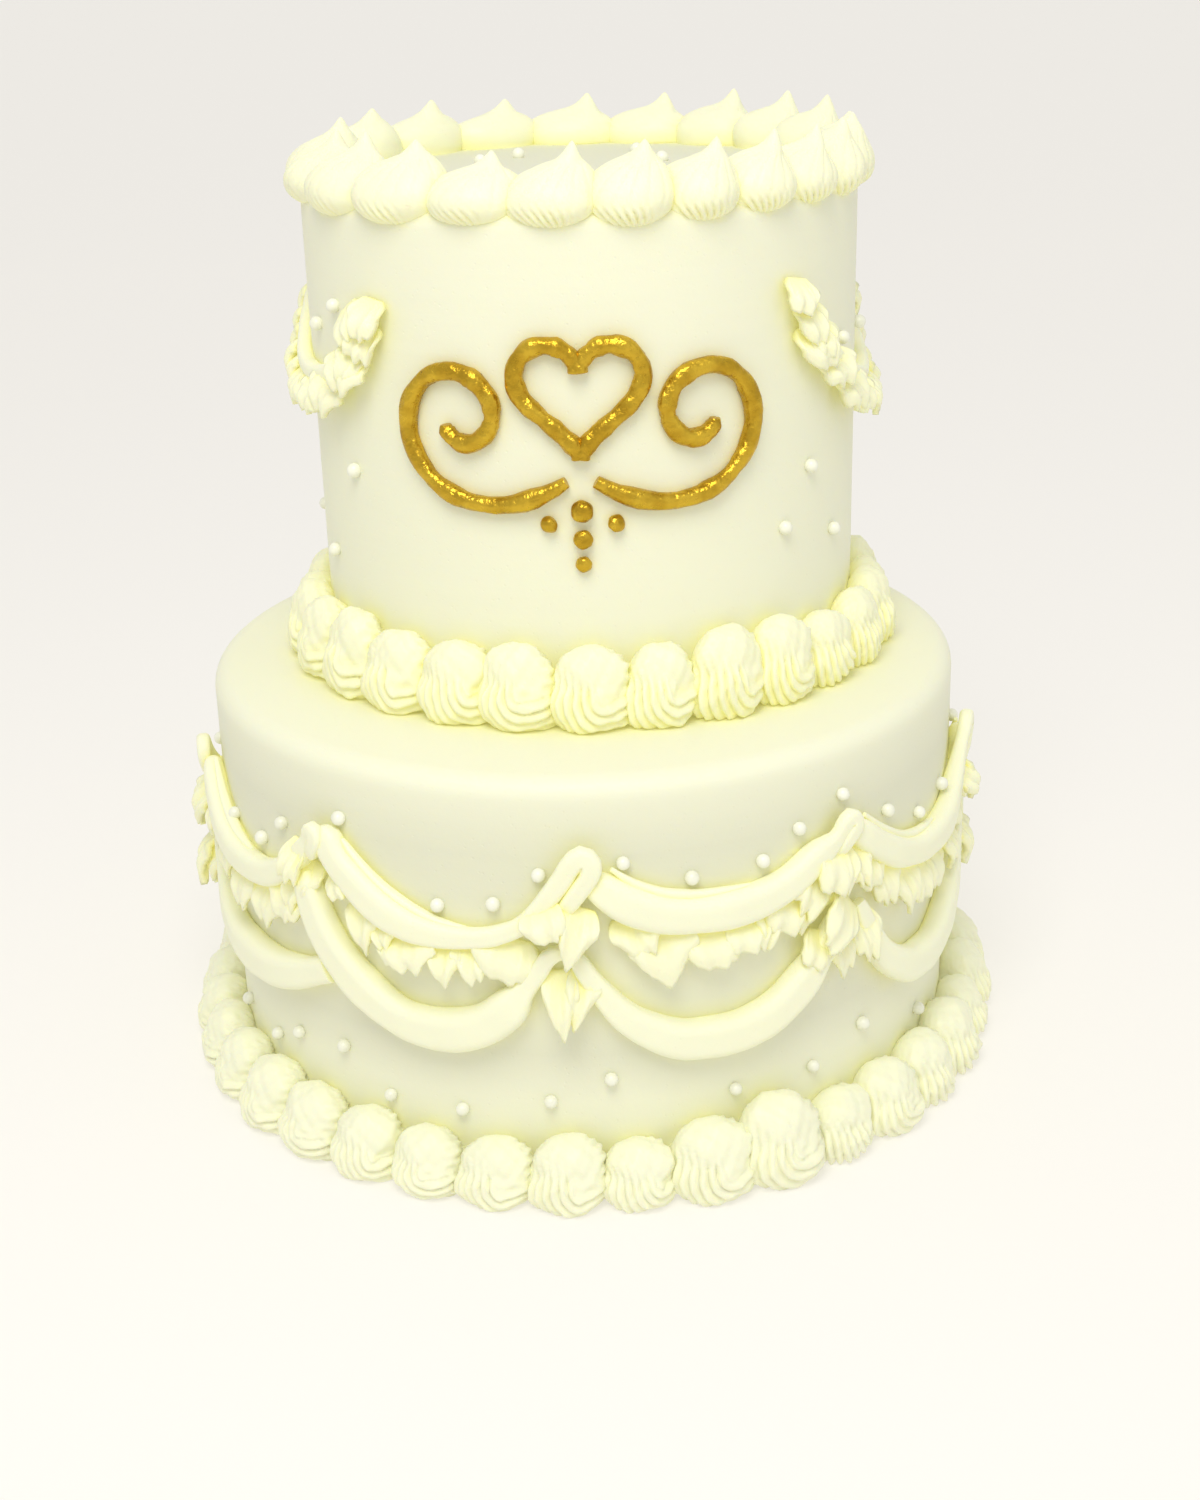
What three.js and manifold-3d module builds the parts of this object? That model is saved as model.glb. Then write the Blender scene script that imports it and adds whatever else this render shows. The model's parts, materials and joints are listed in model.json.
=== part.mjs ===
// A two-tier birthday cake in ivory buttercream.
// Both tiers are round and smooth, with a softly rounded rim and sugar pearls pressed into the icing.
// Piped shells run round the foot of each tier and round the top. Two rows of swags hang on the lower
// tier, with a ruffle under the upper row and a gathered rosette at each meeting point. The upper tier
// has a shorter run of ruffled swags that leaves the front free for a gold piped heart and scrolls.
//
// Units are millimetres, +Z is up, and the front of the cake faces -Y.
// The origin is at the centre of the flat base of the lower tier.
// An azimuth is in degrees: 0 is the front (-Y) and it grows towards +X.

import * as THREE from "three";
import { mergeVertices } from "three/addons/utils/BufferGeometryUtils.js";
import Module from "manifold-3d";

// Tiers
const lowerRadius = 106;
const lowerHeight = 116.5;
const upperRadius = 75.5;
const upperTop = 247;
const upperShift = { x: 3, y: 11.5 };
const rimRounding = 5;
const tierSegments = 48;
const gap = 0.3;

// Shell borders: how many shells, how far they reach out, how tall they are, where the first one is
const baseShells = { count: 37, first: -4.2, depth: 15.9, height: 18.6, seed: 1 };
const middleShells = { count: 28, first: -1.3, depth: 13.6, height: 21.4, seed: 2 };
const largeBaseShells = { azimuth: 21, spread: 10, extra: 0.24 };
// The middle border is lower at both sides of the cake than at the front
const smallMiddleShells = { side: 92, spread: 17, less: 0.2 };
const topShells = { count: 21, ringRadius: 69, inner: 9.5, outer: 11, height: 11.5, drop: 5, tip: 5 };
const topShellDrift = { mean: -16.6, swing: 11.9, phase: 156.6 };
const tipLean = 3.4;
const shellUnevenness = 0.09;

// Swags on the lower tier: the azimuth of each meeting point, and how deep each swag hangs.
// A lean above 1 moves a swag's lowest point to the right, and more fullness makes its bottom rounder.
const meetingPoints = [-40, -1.6, 36.8, 78, 118.6, 159.2, 199.8, 240.4, 281];
const lowerMeetingPoints = [-40.6, -4, 38.6, 77, 116.8, 159, 198.4, 238.6, 280.2];
const upperSag = [22.1, 16.8, 20.8, 21, 20, 22, 19, 23, 21];
const upperLean = [1.15, 0.92, 1.1, 1, 0.9, 1.1, 1, 0.88, 1.08];
const lowerSag = [31.5, 34.5, 36.5, 34, 33, 35, 32, 33, 30];
const lowerLean = [1, 0.95, 0.92, 1, 0.95, 1.08, 1, 0.95, 0.8];
const swagRoundness = 2.5;
// How thick each swag's upper rope is in its first and in its second half
const upperGirths = [
  [0.98, 0.6], [1.06, 1.04], [0.9, 0.98], [1, 0.75], [1.05, 1],
  [0.95, 0.7], [1, 1.04], [1.04, 0.8], [0.95, 0.9],
];
// The last lower rope ends lower down, against the side of the first one
const lowOfLastRope = 18;
const lastRopeReach = 9.2;
const swagTop = 96;
const swagRope = { width: 9.2, depth: 6.4, steps: 9, endGap: 2.6, ends: 0.7, taper: 8 };
const lowerRopeTop = 78;
const lowerRope = { width: 10.8, depth: 6.8, steps: 8, endGap: 8.9, ends: 0.55, taper: 3 };
const swagRuffle = { depth: 6.6, hang: 11.2, pleats: 7, endGap: 8.2 };
const rosette = { top: 80, width: 10.8, depth: 8.2, steps: 4 };
const rosetteBottoms = [67, 48, 51, 55, 49, 57, 50, 54, 52];

// Swags on the upper tier, from the right of the front round to the left of it
const upperSwags = { top: 222, ends: [42, 112, 160, 205, 250, 317] };
const upperSwagSags = [29, 21, 23, 21, 22];
const upperSwagLeans = [1.15, 1, 0.95, 1.05, 1.25];
const upperRope = { width: 4.6, depth: 4.4, steps: 11, endGap: 2.2, ends: 0.72, taper: 8 };
const upperRuffle = { depth: 7.2, hang: 8.2, pleats: 7, endGap: 1.6 };

// Sugar pearls
const pearlRadius = 2.2;
const pearlSink = 1.2;
const pearlSides = 5;
// Azimuth and height of each pearl on the front of the lower tier: above the swags, then under them
const lowerPearls = [
  [-66.1, 83.6], [-55.4, 83.8], [-49.2, 92], [-36.6, 100], [-21.3, 81.2], [-13.3, 83.2], [-6.9, 91.8],
  [4.4, 94.6], [13.7, 88.6], [24.1, 89.6], [29.9, 96], [37.6, 101.6], [47.5, 91], [56.8, 84], [66.8, 85],
  [-70, 21.5], [-56.5, 22.4], [-49.7, 28.4], [-39.3, 31.5], [-31, 21.2], [-19.4, 21.8], [-6.5, 26.5],
  [2, 33], [19.9, 25], [32.8, 24.6], [42.8, 30.7], [59.1, 21.2],
];
const firstBackSwag = 3;
const lastBackSwag = 7;
const pearlsAboveSwag = [0.14, 0.45, 0.82];
const pearlRise = 9.2;
const pearlBand = { low: 22, high: 32, perSwag: 2 };
const upperPearls = [
  [-67, 151], [-54, 177], [-57.7, 219.6], [-67.5, 213], [50, 175.5], [42, 161], [60, 155], [63.5, 206],
  [82, 205.5],
];
const backPearls = { count: 9, first: 84, last: 276, low: 152, high: 169 };
const topPearls = { count: 9, radius: 43 };

// Gold piping on the front of the upper tier, in millimetres along and up the wall
const gold = { azimuth: -1.5, height: 193, width: 4.6, depth: 3.8 };
const heart = { scale: 0.98, rise: 10, steps: 10 };
const scroll = {
  along: 30.5, up: 3, outer: 18.5, inner: 4.2, flare: 12.5, start: -150, turns: 1.34, steps: 20,
};
// Drops under the heart: along, up and radius of each
const goldDrops = [[0, -20, 2.9], [0, -27.5, 2.5], [0, -34, 2.1], [-8.4, -23.5, 2.3], [8.4, -23.5, 2.3]];

const ivory = { color: 0xf6f0cf, roughness: 0.62, metalness: 0 };
const piping = { color: 0xfaf6d8, roughness: 0.58, metalness: 0 };
const goldPaint = { color: 0xb98a1e, roughness: 0.34, metalness: 0.75 };

const radians = THREE.MathUtils.degToRad;

// A number from -1 to 1 that is always the same for the same seed.
function uneven(seed) {
  const value = Math.sin(seed * 12.9898 + 78.233) * 43758.5453;
  return 2 * (value - Math.floor(value)) - 1;
}

function wallPoint(radius, azimuth, height) {
  const angle = radians(azimuth);
  return new THREE.Vector3(radius * Math.sin(angle), -radius * Math.cos(angle), height);
}

const wasm = await Module();
wasm.setup();

function solidOf(geometry) {
  const bare = geometry.clone();
  bare.deleteAttribute("normal");
  bare.deleteAttribute("uv");
  const merged = mergeVertices(bare, 1e-4);
  return new wasm.Manifold(new wasm.Mesh({
    numProp: 3,
    vertProperties: new Float32Array(merged.attributes.position.array),
    triVerts: new Uint32Array(merged.index.array),
  }));
}

function geometryOf(solid) {
  const mesh = solid.getMesh();
  const geometry = new THREE.BufferGeometry();
  geometry.setAttribute("position", new THREE.BufferAttribute(mesh.vertProperties, 3));
  geometry.setIndex(new THREE.BufferAttribute(mesh.triVerts, 1));
  geometry.computeVertexNormals();
  return geometry;
}

function nodeMesh(name, geometry, finish) {
  const mesh = new THREE.Mesh(geometry, new THREE.MeshStandardMaterial(finish));
  mesh.name = name;
  return mesh;
}

// A curve that lies on a round wall. The place function gives its azimuth and height for t from 0 to 1,
// and the swell function gives the depth and width of the piping there. Its frames stand square to the
// wall, so a section drawn as (out from the wall, across the piping) keeps its flat side on the wall.
// On a path that hangs, across means straight down.
class WallPath extends THREE.Curve {
  constructor(radius, place, swell, hangs = false) {
    super();
    this.radius = radius;
    this.place = place;
    this.swell = swell;
    this.hangs = hangs;
  }

  getPoint(t) {
    const [azimuth, height] = this.place(t);
    return wallPoint(this.radius, azimuth, height);
  }

  computeFrenetFrames(steps) {
    const frames = { tangents: [], normals: [], binormals: [] };
    for (let i = 0; i <= steps; i++) {
      const point = this.getPointAt(i / steps);
      const tangent = this.getTangentAt(i / steps);
      const normal = new THREE.Vector3(point.x, point.y, 0).normalize();
      if (!this.hangs) normal.addScaledVector(tangent, -normal.dot(tangent)).normalize();
      const across = new THREE.Vector3().crossVectors(tangent, normal);
      const binormal = this.hangs ? new THREE.Vector3(0, 0, -1) : across;
      const [depth, width] = this.swell(i / steps);
      frames.tangents.push(tangent);
      frames.normals.push(normal.multiplyScalar(depth));
      frames.binormals.push(binormal.multiplyScalar(width));
    }
    return frames;
  }
}

function pipedAlong(path, section, steps) {
  const shape = new THREE.Shape(section.map(([out, across]) => new THREE.Vector2(out, across)));
  return new THREE.ExtrudeGeometry(shape, { steps, extrudePath: path, bevelEnabled: false });
}

// The section of a piped rope: a low arch with its flat side on the wall.
function ropeSection(width, depth) {
  return [
    [0, -0.38 * width],
    [0.62 * depth, -0.5 * width],
    [depth, 0],
    [0.62 * depth, 0.5 * width],
    [0, 0.38 * width],
  ];
}

// The section of a ruffle: thin at the rope, thickest two thirds of the way down, open at the lower edge.
function ruffleSection(depth, hang) {
  return [
    [0, 0],
    [0.45 * depth, 0],
    [depth, 0.78 * hang],
    [0, hang],
  ];
}

function tierProfile(radius, bottom, top) {
  const rim = rimRounding;
  const bend = rim * (1 - Math.SQRT1_2);
  return [
    [0, bottom],
    [radius, bottom],
    [radius, top - rim],
    [radius - bend, top - bend],
    [radius - rim, top],
    [0, top],
  ].map(([r, z]) => new THREE.Vector2(r, z));
}

function tierGeometry(radius, bottom, top) {
  const lathe = new THREE.LatheGeometry(tierProfile(radius, bottom, top), tierSegments);
  return lathe.rotateX(Math.PI / 2);
}

// A tier with its pearls pressed into it, all one piece of icing.
function tierWithPearls(radius, bottom, top, places) {
  let solid = solidOf(tierGeometry(radius, bottom, top));
  for (const { centre, outward } of places) {
    const pearl = new THREE.SphereGeometry(pearlRadius, pearlSides, 3);
    pearl.applyQuaternion(new THREE.Quaternion().setFromUnitVectors(new THREE.Vector3(0, 1, 0), outward));
    pearl.translate(centre.x, centre.y, centre.z);
    solid = solid.add(solidOf(pearl));
  }
  return geometryOf(solid);
}

function pearlOnWall(radius, azimuth, height) {
  const centre = wallPoint(radius + pearlRadius - pearlSink, azimuth, height);
  return { centre, outward: wallPoint(1, azimuth, 0) };
}

// Where a swag's rope hangs between two meeting points, with t from 0 to 1 along it.
function swagLine(start, end, top, sag, lean = 1, roundness = 2) {
  return (t) => {
    const share = Math.max(0, t) ** lean;
    return [start + (end - start) * t, top - sag * (1 - Math.abs(2 * share - 1) ** roundness)];
  };
}

function spanBetween(points, index) {
  return [points[index], index + 1 < points.length ? points[index + 1] : points[0] + 360];
}

function upperSwag(index) {
  const [start, end] = spanBetween(meetingPoints, index);
  return swagLine(start, end, swagTop, upperSag[index], upperLean[index], swagRoundness);
}

function lowerSwag(index) {
  const [start, end] = spanBetween(lowerMeetingPoints, index);
  const last = index + 1 === lowerMeetingPoints.length;
  const reach = last ? THREE.MathUtils.radToDeg(lastRopeReach / lowerRadius) : 0;
  const line = swagLine(start, end + reach, lowerRopeTop, lowerSag[index], lowerLean[index], swagRoundness);
  return (t) => {
    const [azimuth, height] = line(t);
    return [azimuth, height - (last ? lowOfLastRope * Math.max(0, t) ** 4 : 0)];
  };
}

// How thick a rope is along its length when its two halves differ.
function girthBetween([first, second]) {
  return (t) => first + (second - first) * THREE.MathUtils.smoothstep(t, 0.32, 0.6);
}

// The same line, cut short by a clear length in millimetres at both ends.
function shortened(line, radius, clear) {
  const [start] = line(0);
  const [end] = line(1);
  const cut = clear / (radians(end - start) * radius);
  return (t) => line(cut + (1 - 2 * cut) * t);
}

// The lower edge of a rope that follows the line, where the ruffle under it begins.
function underRope(line, radius, rope, girth) {
  return (t) => {
    const [azimuth, height] = line(t);
    const [before, above] = line(t - 0.01);
    const [after, below] = line(t + 0.01);
    const slope = (below - above) / (radians(after - before) * radius);
    return [azimuth, height - (0.53 * rope.width * girth(t) + gap) * Math.hypot(1, slope)];
  };
}

function ropeSwell(rope, seed, girth) {
  return (t) => {
    const even = girth(t) * (1 + 0.05 * uneven(seed + Math.round(t * 10)));
    const end = rope.ends + (1 - rope.ends) * Math.min(1, Math.min(t, 1 - t) * rope.taper);
    return [even * end, even * end];
  };
}

// Pleats stand out and hang low in turn, each a little different from the last.
function pleatSwell(pleats, seed) {
  return (t) => {
    const step = Math.round(t * pleats * 2);
    const crest = step % 2 === 1;
    const depth = (crest ? 1 : 0.5) * (1 + 0.12 * uneven(seed + step));
    const hang = (crest ? 1 : 0.72) * (1 + 0.1 * uneven(seed + step + 40));
    const end = 0.55 + 0.45 * Math.min(1, Math.min(t, 1 - t) * 4);
    return [depth * end, hang * end];
  };
}

function ropeOnWall(radius, line, rope, seed, girth = () => 1) {
  const place = shortened(line, radius, rope.endGap);
  const path = new WallPath(radius + gap, place, ropeSwell(rope, seed, girth));
  return pipedAlong(path, ropeSection(rope.width, rope.depth), rope.steps);
}

function ruffleOnWall(radius, line, rope, ruffle, seed, girth = () => 1) {
  const place = shortened(underRope(line, radius, rope, girth), radius, ruffle.endGap);
  const path = new WallPath(radius + gap, place, pleatSwell(ruffle.pleats, seed), true);
  return pipedAlong(path, ruffleSection(ruffle.depth, ruffle.hang), ruffle.pleats * 2);
}

// The gathered rosette where two swags meet: petals that spread downwards and end in points.
function rosetteOnWall(azimuth, bottom, seed) {
  const widths = [0.4, 0.6, 0.84, 1, 0.34];
  const depths = [0.55, 0.95, 1, 0.8, 0.35];
  const place = (t) => [azimuth, rosette.top + (bottom - rosette.top) * t];
  const swell = (t) => {
    const step = Math.round(t * rosette.steps);
    return [depths[step] * (1 + 0.08 * uneven(seed + step)), widths[step]];
  };
  const half = rosette.width / 2;
  const section = [
    [0, -half],
    [0.66 * rosette.depth, -0.86 * half],
    [rosette.depth, 0],
    [0.66 * rosette.depth, 0.86 * half],
    [0, half],
  ];
  return pipedAlong(new WallPath(lowerRadius + gap, place, swell), section, rosette.steps);
}

// How full a shell is across its width, from the crevice beside it (0) to its middle (1).
function fullness(across) {
  return Math.sqrt(Math.max(0, 1 - (2 * across - 1) ** 2));
}

// A closed ring of piped shells, bent out of a lathed ring. Each row of the ring is given as
// (radius, height) by the placeRow function for a shell number and a place across it.
function shellRing(count, columns, rows, azimuthOf, placeRow) {
  const profile = [];
  for (let row = 0; row <= rows; row++) {
    const angle = (-2 * Math.PI * row) / rows;
    profile.push(new THREE.Vector2(100 - 10 * Math.cos(angle), -10 * Math.sin(angle)));
  }
  const lathe = new THREE.LatheGeometry(profile, count * columns);
  const position = lathe.getAttribute("position");
  for (let column = 0; column <= count * columns; column++) {
    const turn = (column % (count * columns)) / columns;
    const shell = Math.floor(turn);
    for (let row = 0; row <= rows; row++) {
      const place = placeRow(shell, turn - shell, row % rows);
      const azimuth = azimuthOf(turn - 0.5);
      const point = wallPoint(place.radius, azimuth, place.height);
      position.setXYZ(column * (rows + 1) + row, point.x + (place.lean ?? 0), point.y, point.z);
    }
  }
  lathe.deleteAttribute("normal");
  lathe.deleteAttribute("uv");
  return mergeVertices(lathe, 1e-4);
}

// Shells piped into the corner between a wall and what it stands on, with their heads on the wall.
function cornerShells(wallRadius, floor, shells) {
  const rows = [
    { out: 0, up: 0 },
    { out: 0.94, up: 0 },
    { out: 1, up: 0.26 },
    { out: 0.8, up: 0.72 },
    { out: 0.4, up: 1 },
    { out: 0, up: 0.86 },
  ];
  const azimuthOf = (turn) => shells.first + (turn * 360) / shells.count;
  const sizeOf = (shell) => {
    const index = (shell + shells.count) % shells.count;
    const plain = 1 + shellUnevenness * uneven(shells.seed * 100 + index);
    const away = (azimuthOf(shell) - largeBaseShells.azimuth) / largeBaseShells.spread;
    const large = shells === baseShells ? largeBaseShells.extra * Math.exp(-away * away) : 0;
    const turned = THREE.MathUtils.euclideanModulo(azimuthOf(shell) + 180, 360) - 180;
    const aside = (Math.abs(turned) - smallMiddleShells.side) / smallMiddleShells.spread;
    const small = shells === middleShells ? smallMiddleShells.less * Math.exp(-aside * aside) : 0;
    return plain + large - small;
  };
  const placeRow = (shell, across, row) => {
    const full = fullness(across);
    const size = across > 0 ? sizeOf(shell) : (sizeOf(shell) + sizeOf(shell - 1)) / 2;
    const { out, up } = rows[row];
    const radius = wallRadius + gap + out * shells.depth * (0.5 + 0.5 * full) * Math.sqrt(size);
    return { radius, height: floor + up * shells.height * (0.66 + 0.34 * full) * size };
  };
  return shellRing(shells.count, 5, rows.length, azimuthOf, placeRow);
}

// Shells on the rim of the upper tier. They sag over its edge, and each ends in a tip pulled to the right.
function rimShells() {
  const { count, ringRadius, inner, outer, height, drop, tip } = topShells;
  const wall = upperRadius + gap - ringRadius;
  const rows = [
    { out: -0.86, up: 0, foot: true },
    { out: wall, up: 0, fixed: true },
    { out: wall, up: -drop, fixed: true },
    { out: 0.86, up: -drop, foot: true },
    { out: 1, up: 0.2 },
    { out: 0.62, up: 0.84 },
    { out: 0, up: 1, peak: true },
    { out: -0.92, up: 0.5 },
  ];
  const azimuthOf = (turn) => {
    const even = (turn * 360) / count;
    const drift = Math.cos(radians(even - topShellDrift.phase));
    return even + topShellDrift.mean - topShellDrift.swing * drift;
  };
  const placeRow = (shell, across, row) => {
    const full = fullness(across);
    const size = 1 + shellUnevenness * uneven(300 + (across > 0 ? shell : 0));
    const { out, up, fixed, foot, peak } = rows[row];
    const floor = upperTop + gap;
    if (fixed) return { radius: ringRadius + out, height: floor + up };
    const reach = (out > 0 ? outer : inner) * (0.62 + 0.38 * full) * Math.sqrt(size);
    const radius = Math.max(ringRadius + out * reach, foot && out > 0 ? upperRadius + 2 * gap : 0);
    if (foot) return { radius, height: floor + up };
    const middle = Math.max(0, 1 - Math.abs(across - 0.5) * 3.4);
    const rise = up * height * (0.4 + 0.6 * full) * size + (peak ? tip * middle : 0);
    return { radius, height: floor + rise, lean: tipLean * up * middle };
  };
  return shellRing(count, 5, rows.length, azimuthOf, placeRow);
}

// Gold piping follows a line drawn on the wall: along and up, in millimetres from its middle.
function goldStroke(line, steps) {
  const place = (t) => {
    const [along, up] = line(t);
    return [gold.azimuth + THREE.MathUtils.radToDeg(along / upperRadius), gold.height + up];
  };
  const swell = (t) => {
    const even = 1 + 0.06 * uneven(500 + Math.round(t * steps));
    return [even, even];
  };
  const path = new WallPath(upperRadius + gap, place, swell);
  return pipedAlong(path, ropeSection(gold.width, gold.depth), steps);
}

function heartGeometry() {
  const side = (sign) => (t) => {
    const angle = 0.06 + (Math.PI - 0.06) * t;
    const along = 16 * Math.sin(angle) ** 3;
    const lobes = 13 * Math.cos(angle) - 5 * Math.cos(2 * angle);
    const up = lobes - 2 * Math.cos(3 * angle) - Math.cos(4 * angle);
    return [sign * heart.scale * along, heart.rise + heart.scale * up];
  };
  const right = solidOf(goldStroke(side(1), heart.steps));
  const left = solidOf(goldStroke(side(-1), heart.steps));
  return geometryOf(right.add(left));
}

// A scroll starts under the heart, sweeps out and winds in to a curl.
function scrollGeometry(sign) {
  const line = (t) => {
    const angle = radians(scroll.start) + 2 * Math.PI * scroll.turns * t;
    const reach = scroll.outer + (scroll.inner - scroll.outer) * t + scroll.flare * Math.exp(-9 * t);
    return [sign * (scroll.along + reach * Math.cos(angle)), scroll.up + reach * Math.sin(angle)];
  };
  return goldStroke(line, scroll.steps);
}

function goldDropGeometry(along, up, radius) {
  const flatness = 0.8;
  const azimuth = gold.azimuth + THREE.MathUtils.radToDeg(along / upperRadius);
  const centre = wallPoint(upperRadius + gap + radius * flatness, azimuth, gold.height + up);
  const drop = new THREE.SphereGeometry(radius, 6, 4).scale(1, flatness, 1);
  return drop.rotateZ(radians(azimuth)).translate(centre.x, centre.y, centre.z);
}

function lowerPearlPlaces() {
  const places = lowerPearls.map(([azimuth, height]) => pearlOnWall(lowerRadius, azimuth, height));
  for (let index = firstBackSwag; index <= lastBackSwag; index++) {
    const line = upperSwag(index);
    pearlsAboveSwag.forEach((share, number) => {
      const seed = 600 + index * 10 + number;
      const [azimuth, height] = line(share + 0.03 * uneven(seed));
      places.push(pearlOnWall(lowerRadius, azimuth, height + pearlRise + 0.8 * (1 + uneven(seed + 200))));
    });
    const [start, end] = spanBetween(meetingPoints, index);
    for (let number = 0; number < pearlBand.perSwag; number++) {
      const seed = 900 + index * 10 + number;
      const share = (number + 0.5 + 0.32 * uneven(seed)) / pearlBand.perSwag;
      const height = pearlBand.low + (pearlBand.high - pearlBand.low) * (0.5 + 0.5 * uneven(seed + 50));
      places.push(pearlOnWall(lowerRadius, start + (end - start) * share, height));
    }
  }
  return places;
}

function upperPearlPlaces() {
  const places = upperPearls.map(([azimuth, height]) => pearlOnWall(upperRadius, azimuth, height));
  for (let number = 0; number < backPearls.count; number++) {
    const share = (number + 0.5 + 0.3 * uneven(700 + number)) / backPearls.count;
    const azimuth = backPearls.first + (backPearls.last - backPearls.first) * share;
    const height = backPearls.low + (backPearls.high - backPearls.low) * (0.5 + 0.5 * uneven(740 + number));
    places.push(pearlOnWall(upperRadius, azimuth, height));
  }
  for (let number = 0; number < topPearls.count; number++) {
    const azimuth = (number * 360) / topPearls.count + 14 * uneven(780 + number);
    const radius = topPearls.radius * (0.72 + 0.28 * uneven(790 + number));
    const centre = wallPoint(radius, azimuth, upperTop + pearlRadius - pearlSink);
    places.push({ centre, outward: new THREE.Vector3(0, 0, 1) });
  }
  return places;
}

const cake = new THREE.Group();
const upperTier = new THREE.Group();
upperTier.position.set(upperShift.x, upperShift.y, 0);
cake.add(upperTier);

cake.add(nodeMesh("lower_tier", tierWithPearls(lowerRadius, 0, lowerHeight, lowerPearlPlaces()), ivory));
cake.add(nodeMesh("base_border", cornerShells(lowerRadius, 0, baseShells), piping));

lowerMeetingPoints.forEach((azimuth, index) => {
  const number = index + 1;
  const line = upperSwag(index);
  const girth = girthBetween(upperGirths[index]);
  const rope = ropeOnWall(lowerRadius, line, swagRope, 10 * number, girth);
  const ruffle = ruffleOnWall(lowerRadius, line, swagRope, swagRuffle, 100 + 10 * number, girth);
  const hanging = ropeOnWall(lowerRadius, lowerSwag(index), lowerRope, 200 + 10 * number);
  const gathered = rosetteOnWall(azimuth, rosetteBottoms[index], 400 + 10 * number);
  cake.add(nodeMesh(`swag_rope_${number}`, rope, piping));
  cake.add(nodeMesh(`swag_ruffle_${number}`, ruffle, piping));
  cake.add(nodeMesh(`lower_rope_${number}`, hanging, piping));
  cake.add(nodeMesh(`rosette_${number}`, gathered, piping));
});

const upperBottom = lowerHeight + gap;
const smallTier = tierWithPearls(upperRadius, upperBottom, upperTop, upperPearlPlaces());
upperTier.add(nodeMesh("upper_tier", smallTier, ivory));
upperTier.add(nodeMesh("middle_border", cornerShells(upperRadius, upperBottom, middleShells), piping));
upperTier.add(nodeMesh("top_border", rimShells(), piping));

upperSwagSags.forEach((sag, index) => {
  const number = index + 1;
  const [start, end] = upperSwags.ends.slice(index, index + 2);
  const line = swagLine(start, end, upperSwags.top, sag, upperSwagLeans[index], swagRoundness);
  const rope = ropeOnWall(upperRadius, line, upperRope, 800 + 10 * number);
  const ruffle = ruffleOnWall(upperRadius, line, upperRope, upperRuffle, 860 + 10 * number);
  upperTier.add(nodeMesh(`upper_rope_${number}`, rope, piping));
  upperTier.add(nodeMesh(`upper_ruffle_${number}`, ruffle, piping));
});

upperTier.add(nodeMesh("gold_heart", heartGeometry(), goldPaint));
upperTier.add(nodeMesh("gold_scroll_left", scrollGeometry(-1), goldPaint));
upperTier.add(nodeMesh("gold_scroll_right", scrollGeometry(1), goldPaint));
goldDrops.forEach((drop, index) => {
  upperTier.add(nodeMesh(`gold_drop_${index + 1}`, goldDropGeometry(...drop), goldPaint));
});

export default cake;
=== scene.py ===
# A two-tier birthday cake in ivory buttercream, dressed for rendering.
# Lengths here are millimetres and become metres when a mesh is made. An azimuth is in degrees: 0 is the
# front of the cake (-Y) and it grows towards +X. The sizes repeat those of the cake's solids.
import json
from math import cos, degrees, exp, floor, hypot, pi, radians, sin, sqrt

import bpy
import numpy as np
from mathutils import Matrix, Vector

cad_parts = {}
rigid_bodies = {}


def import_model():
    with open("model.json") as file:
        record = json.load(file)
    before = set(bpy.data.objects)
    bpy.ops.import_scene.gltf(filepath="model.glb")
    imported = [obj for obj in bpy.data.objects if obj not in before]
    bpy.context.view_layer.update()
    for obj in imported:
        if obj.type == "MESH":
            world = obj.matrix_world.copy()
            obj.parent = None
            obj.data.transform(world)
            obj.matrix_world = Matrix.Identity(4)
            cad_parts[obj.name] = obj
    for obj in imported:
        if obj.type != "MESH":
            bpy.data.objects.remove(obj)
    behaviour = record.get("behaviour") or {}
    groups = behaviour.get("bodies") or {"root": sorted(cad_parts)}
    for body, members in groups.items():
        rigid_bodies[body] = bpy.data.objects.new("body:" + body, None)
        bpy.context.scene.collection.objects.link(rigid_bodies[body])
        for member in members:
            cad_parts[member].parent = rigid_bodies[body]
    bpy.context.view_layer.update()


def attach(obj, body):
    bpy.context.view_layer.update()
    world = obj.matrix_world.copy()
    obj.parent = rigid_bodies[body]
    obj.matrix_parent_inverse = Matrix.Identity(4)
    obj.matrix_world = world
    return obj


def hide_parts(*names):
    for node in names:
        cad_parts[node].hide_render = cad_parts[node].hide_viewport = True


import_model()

MM = 0.001

# Tiers
LOWER_RADIUS = 106
LOWER_HEIGHT = 116.5
UPPER_RADIUS = 75.5
UPPER_TOP = 247
UPPER_SHIFT = (3, 11.5)
RIM_ROUNDING = 5
TIER_INSET = 0.1
GAP = 0.3

# Shell borders
BASE_SHELLS = {"count": 37, "first": -4.2, "depth": 15.9, "height": 18.6, "seed": 1}
MIDDLE_SHELLS = {"count": 28, "first": -1.3, "depth": 13.6, "height": 21.4, "seed": 2}
LARGE_BASE_SHELLS = {"azimuth": 21, "spread": 10, "extra": 0.24}
SMALL_MIDDLE_SHELLS = {"side": 92, "spread": 17, "less": 0.2}
TOP_SHELLS = {"count": 21, "ring_radius": 69, "tip_lean": 4.6}
TOP_SHELL_DRIFT = {"mean": -16.6, "swing": 11.9, "phase": 156.6}
SHELL_UNEVENNESS = 0.09

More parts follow.
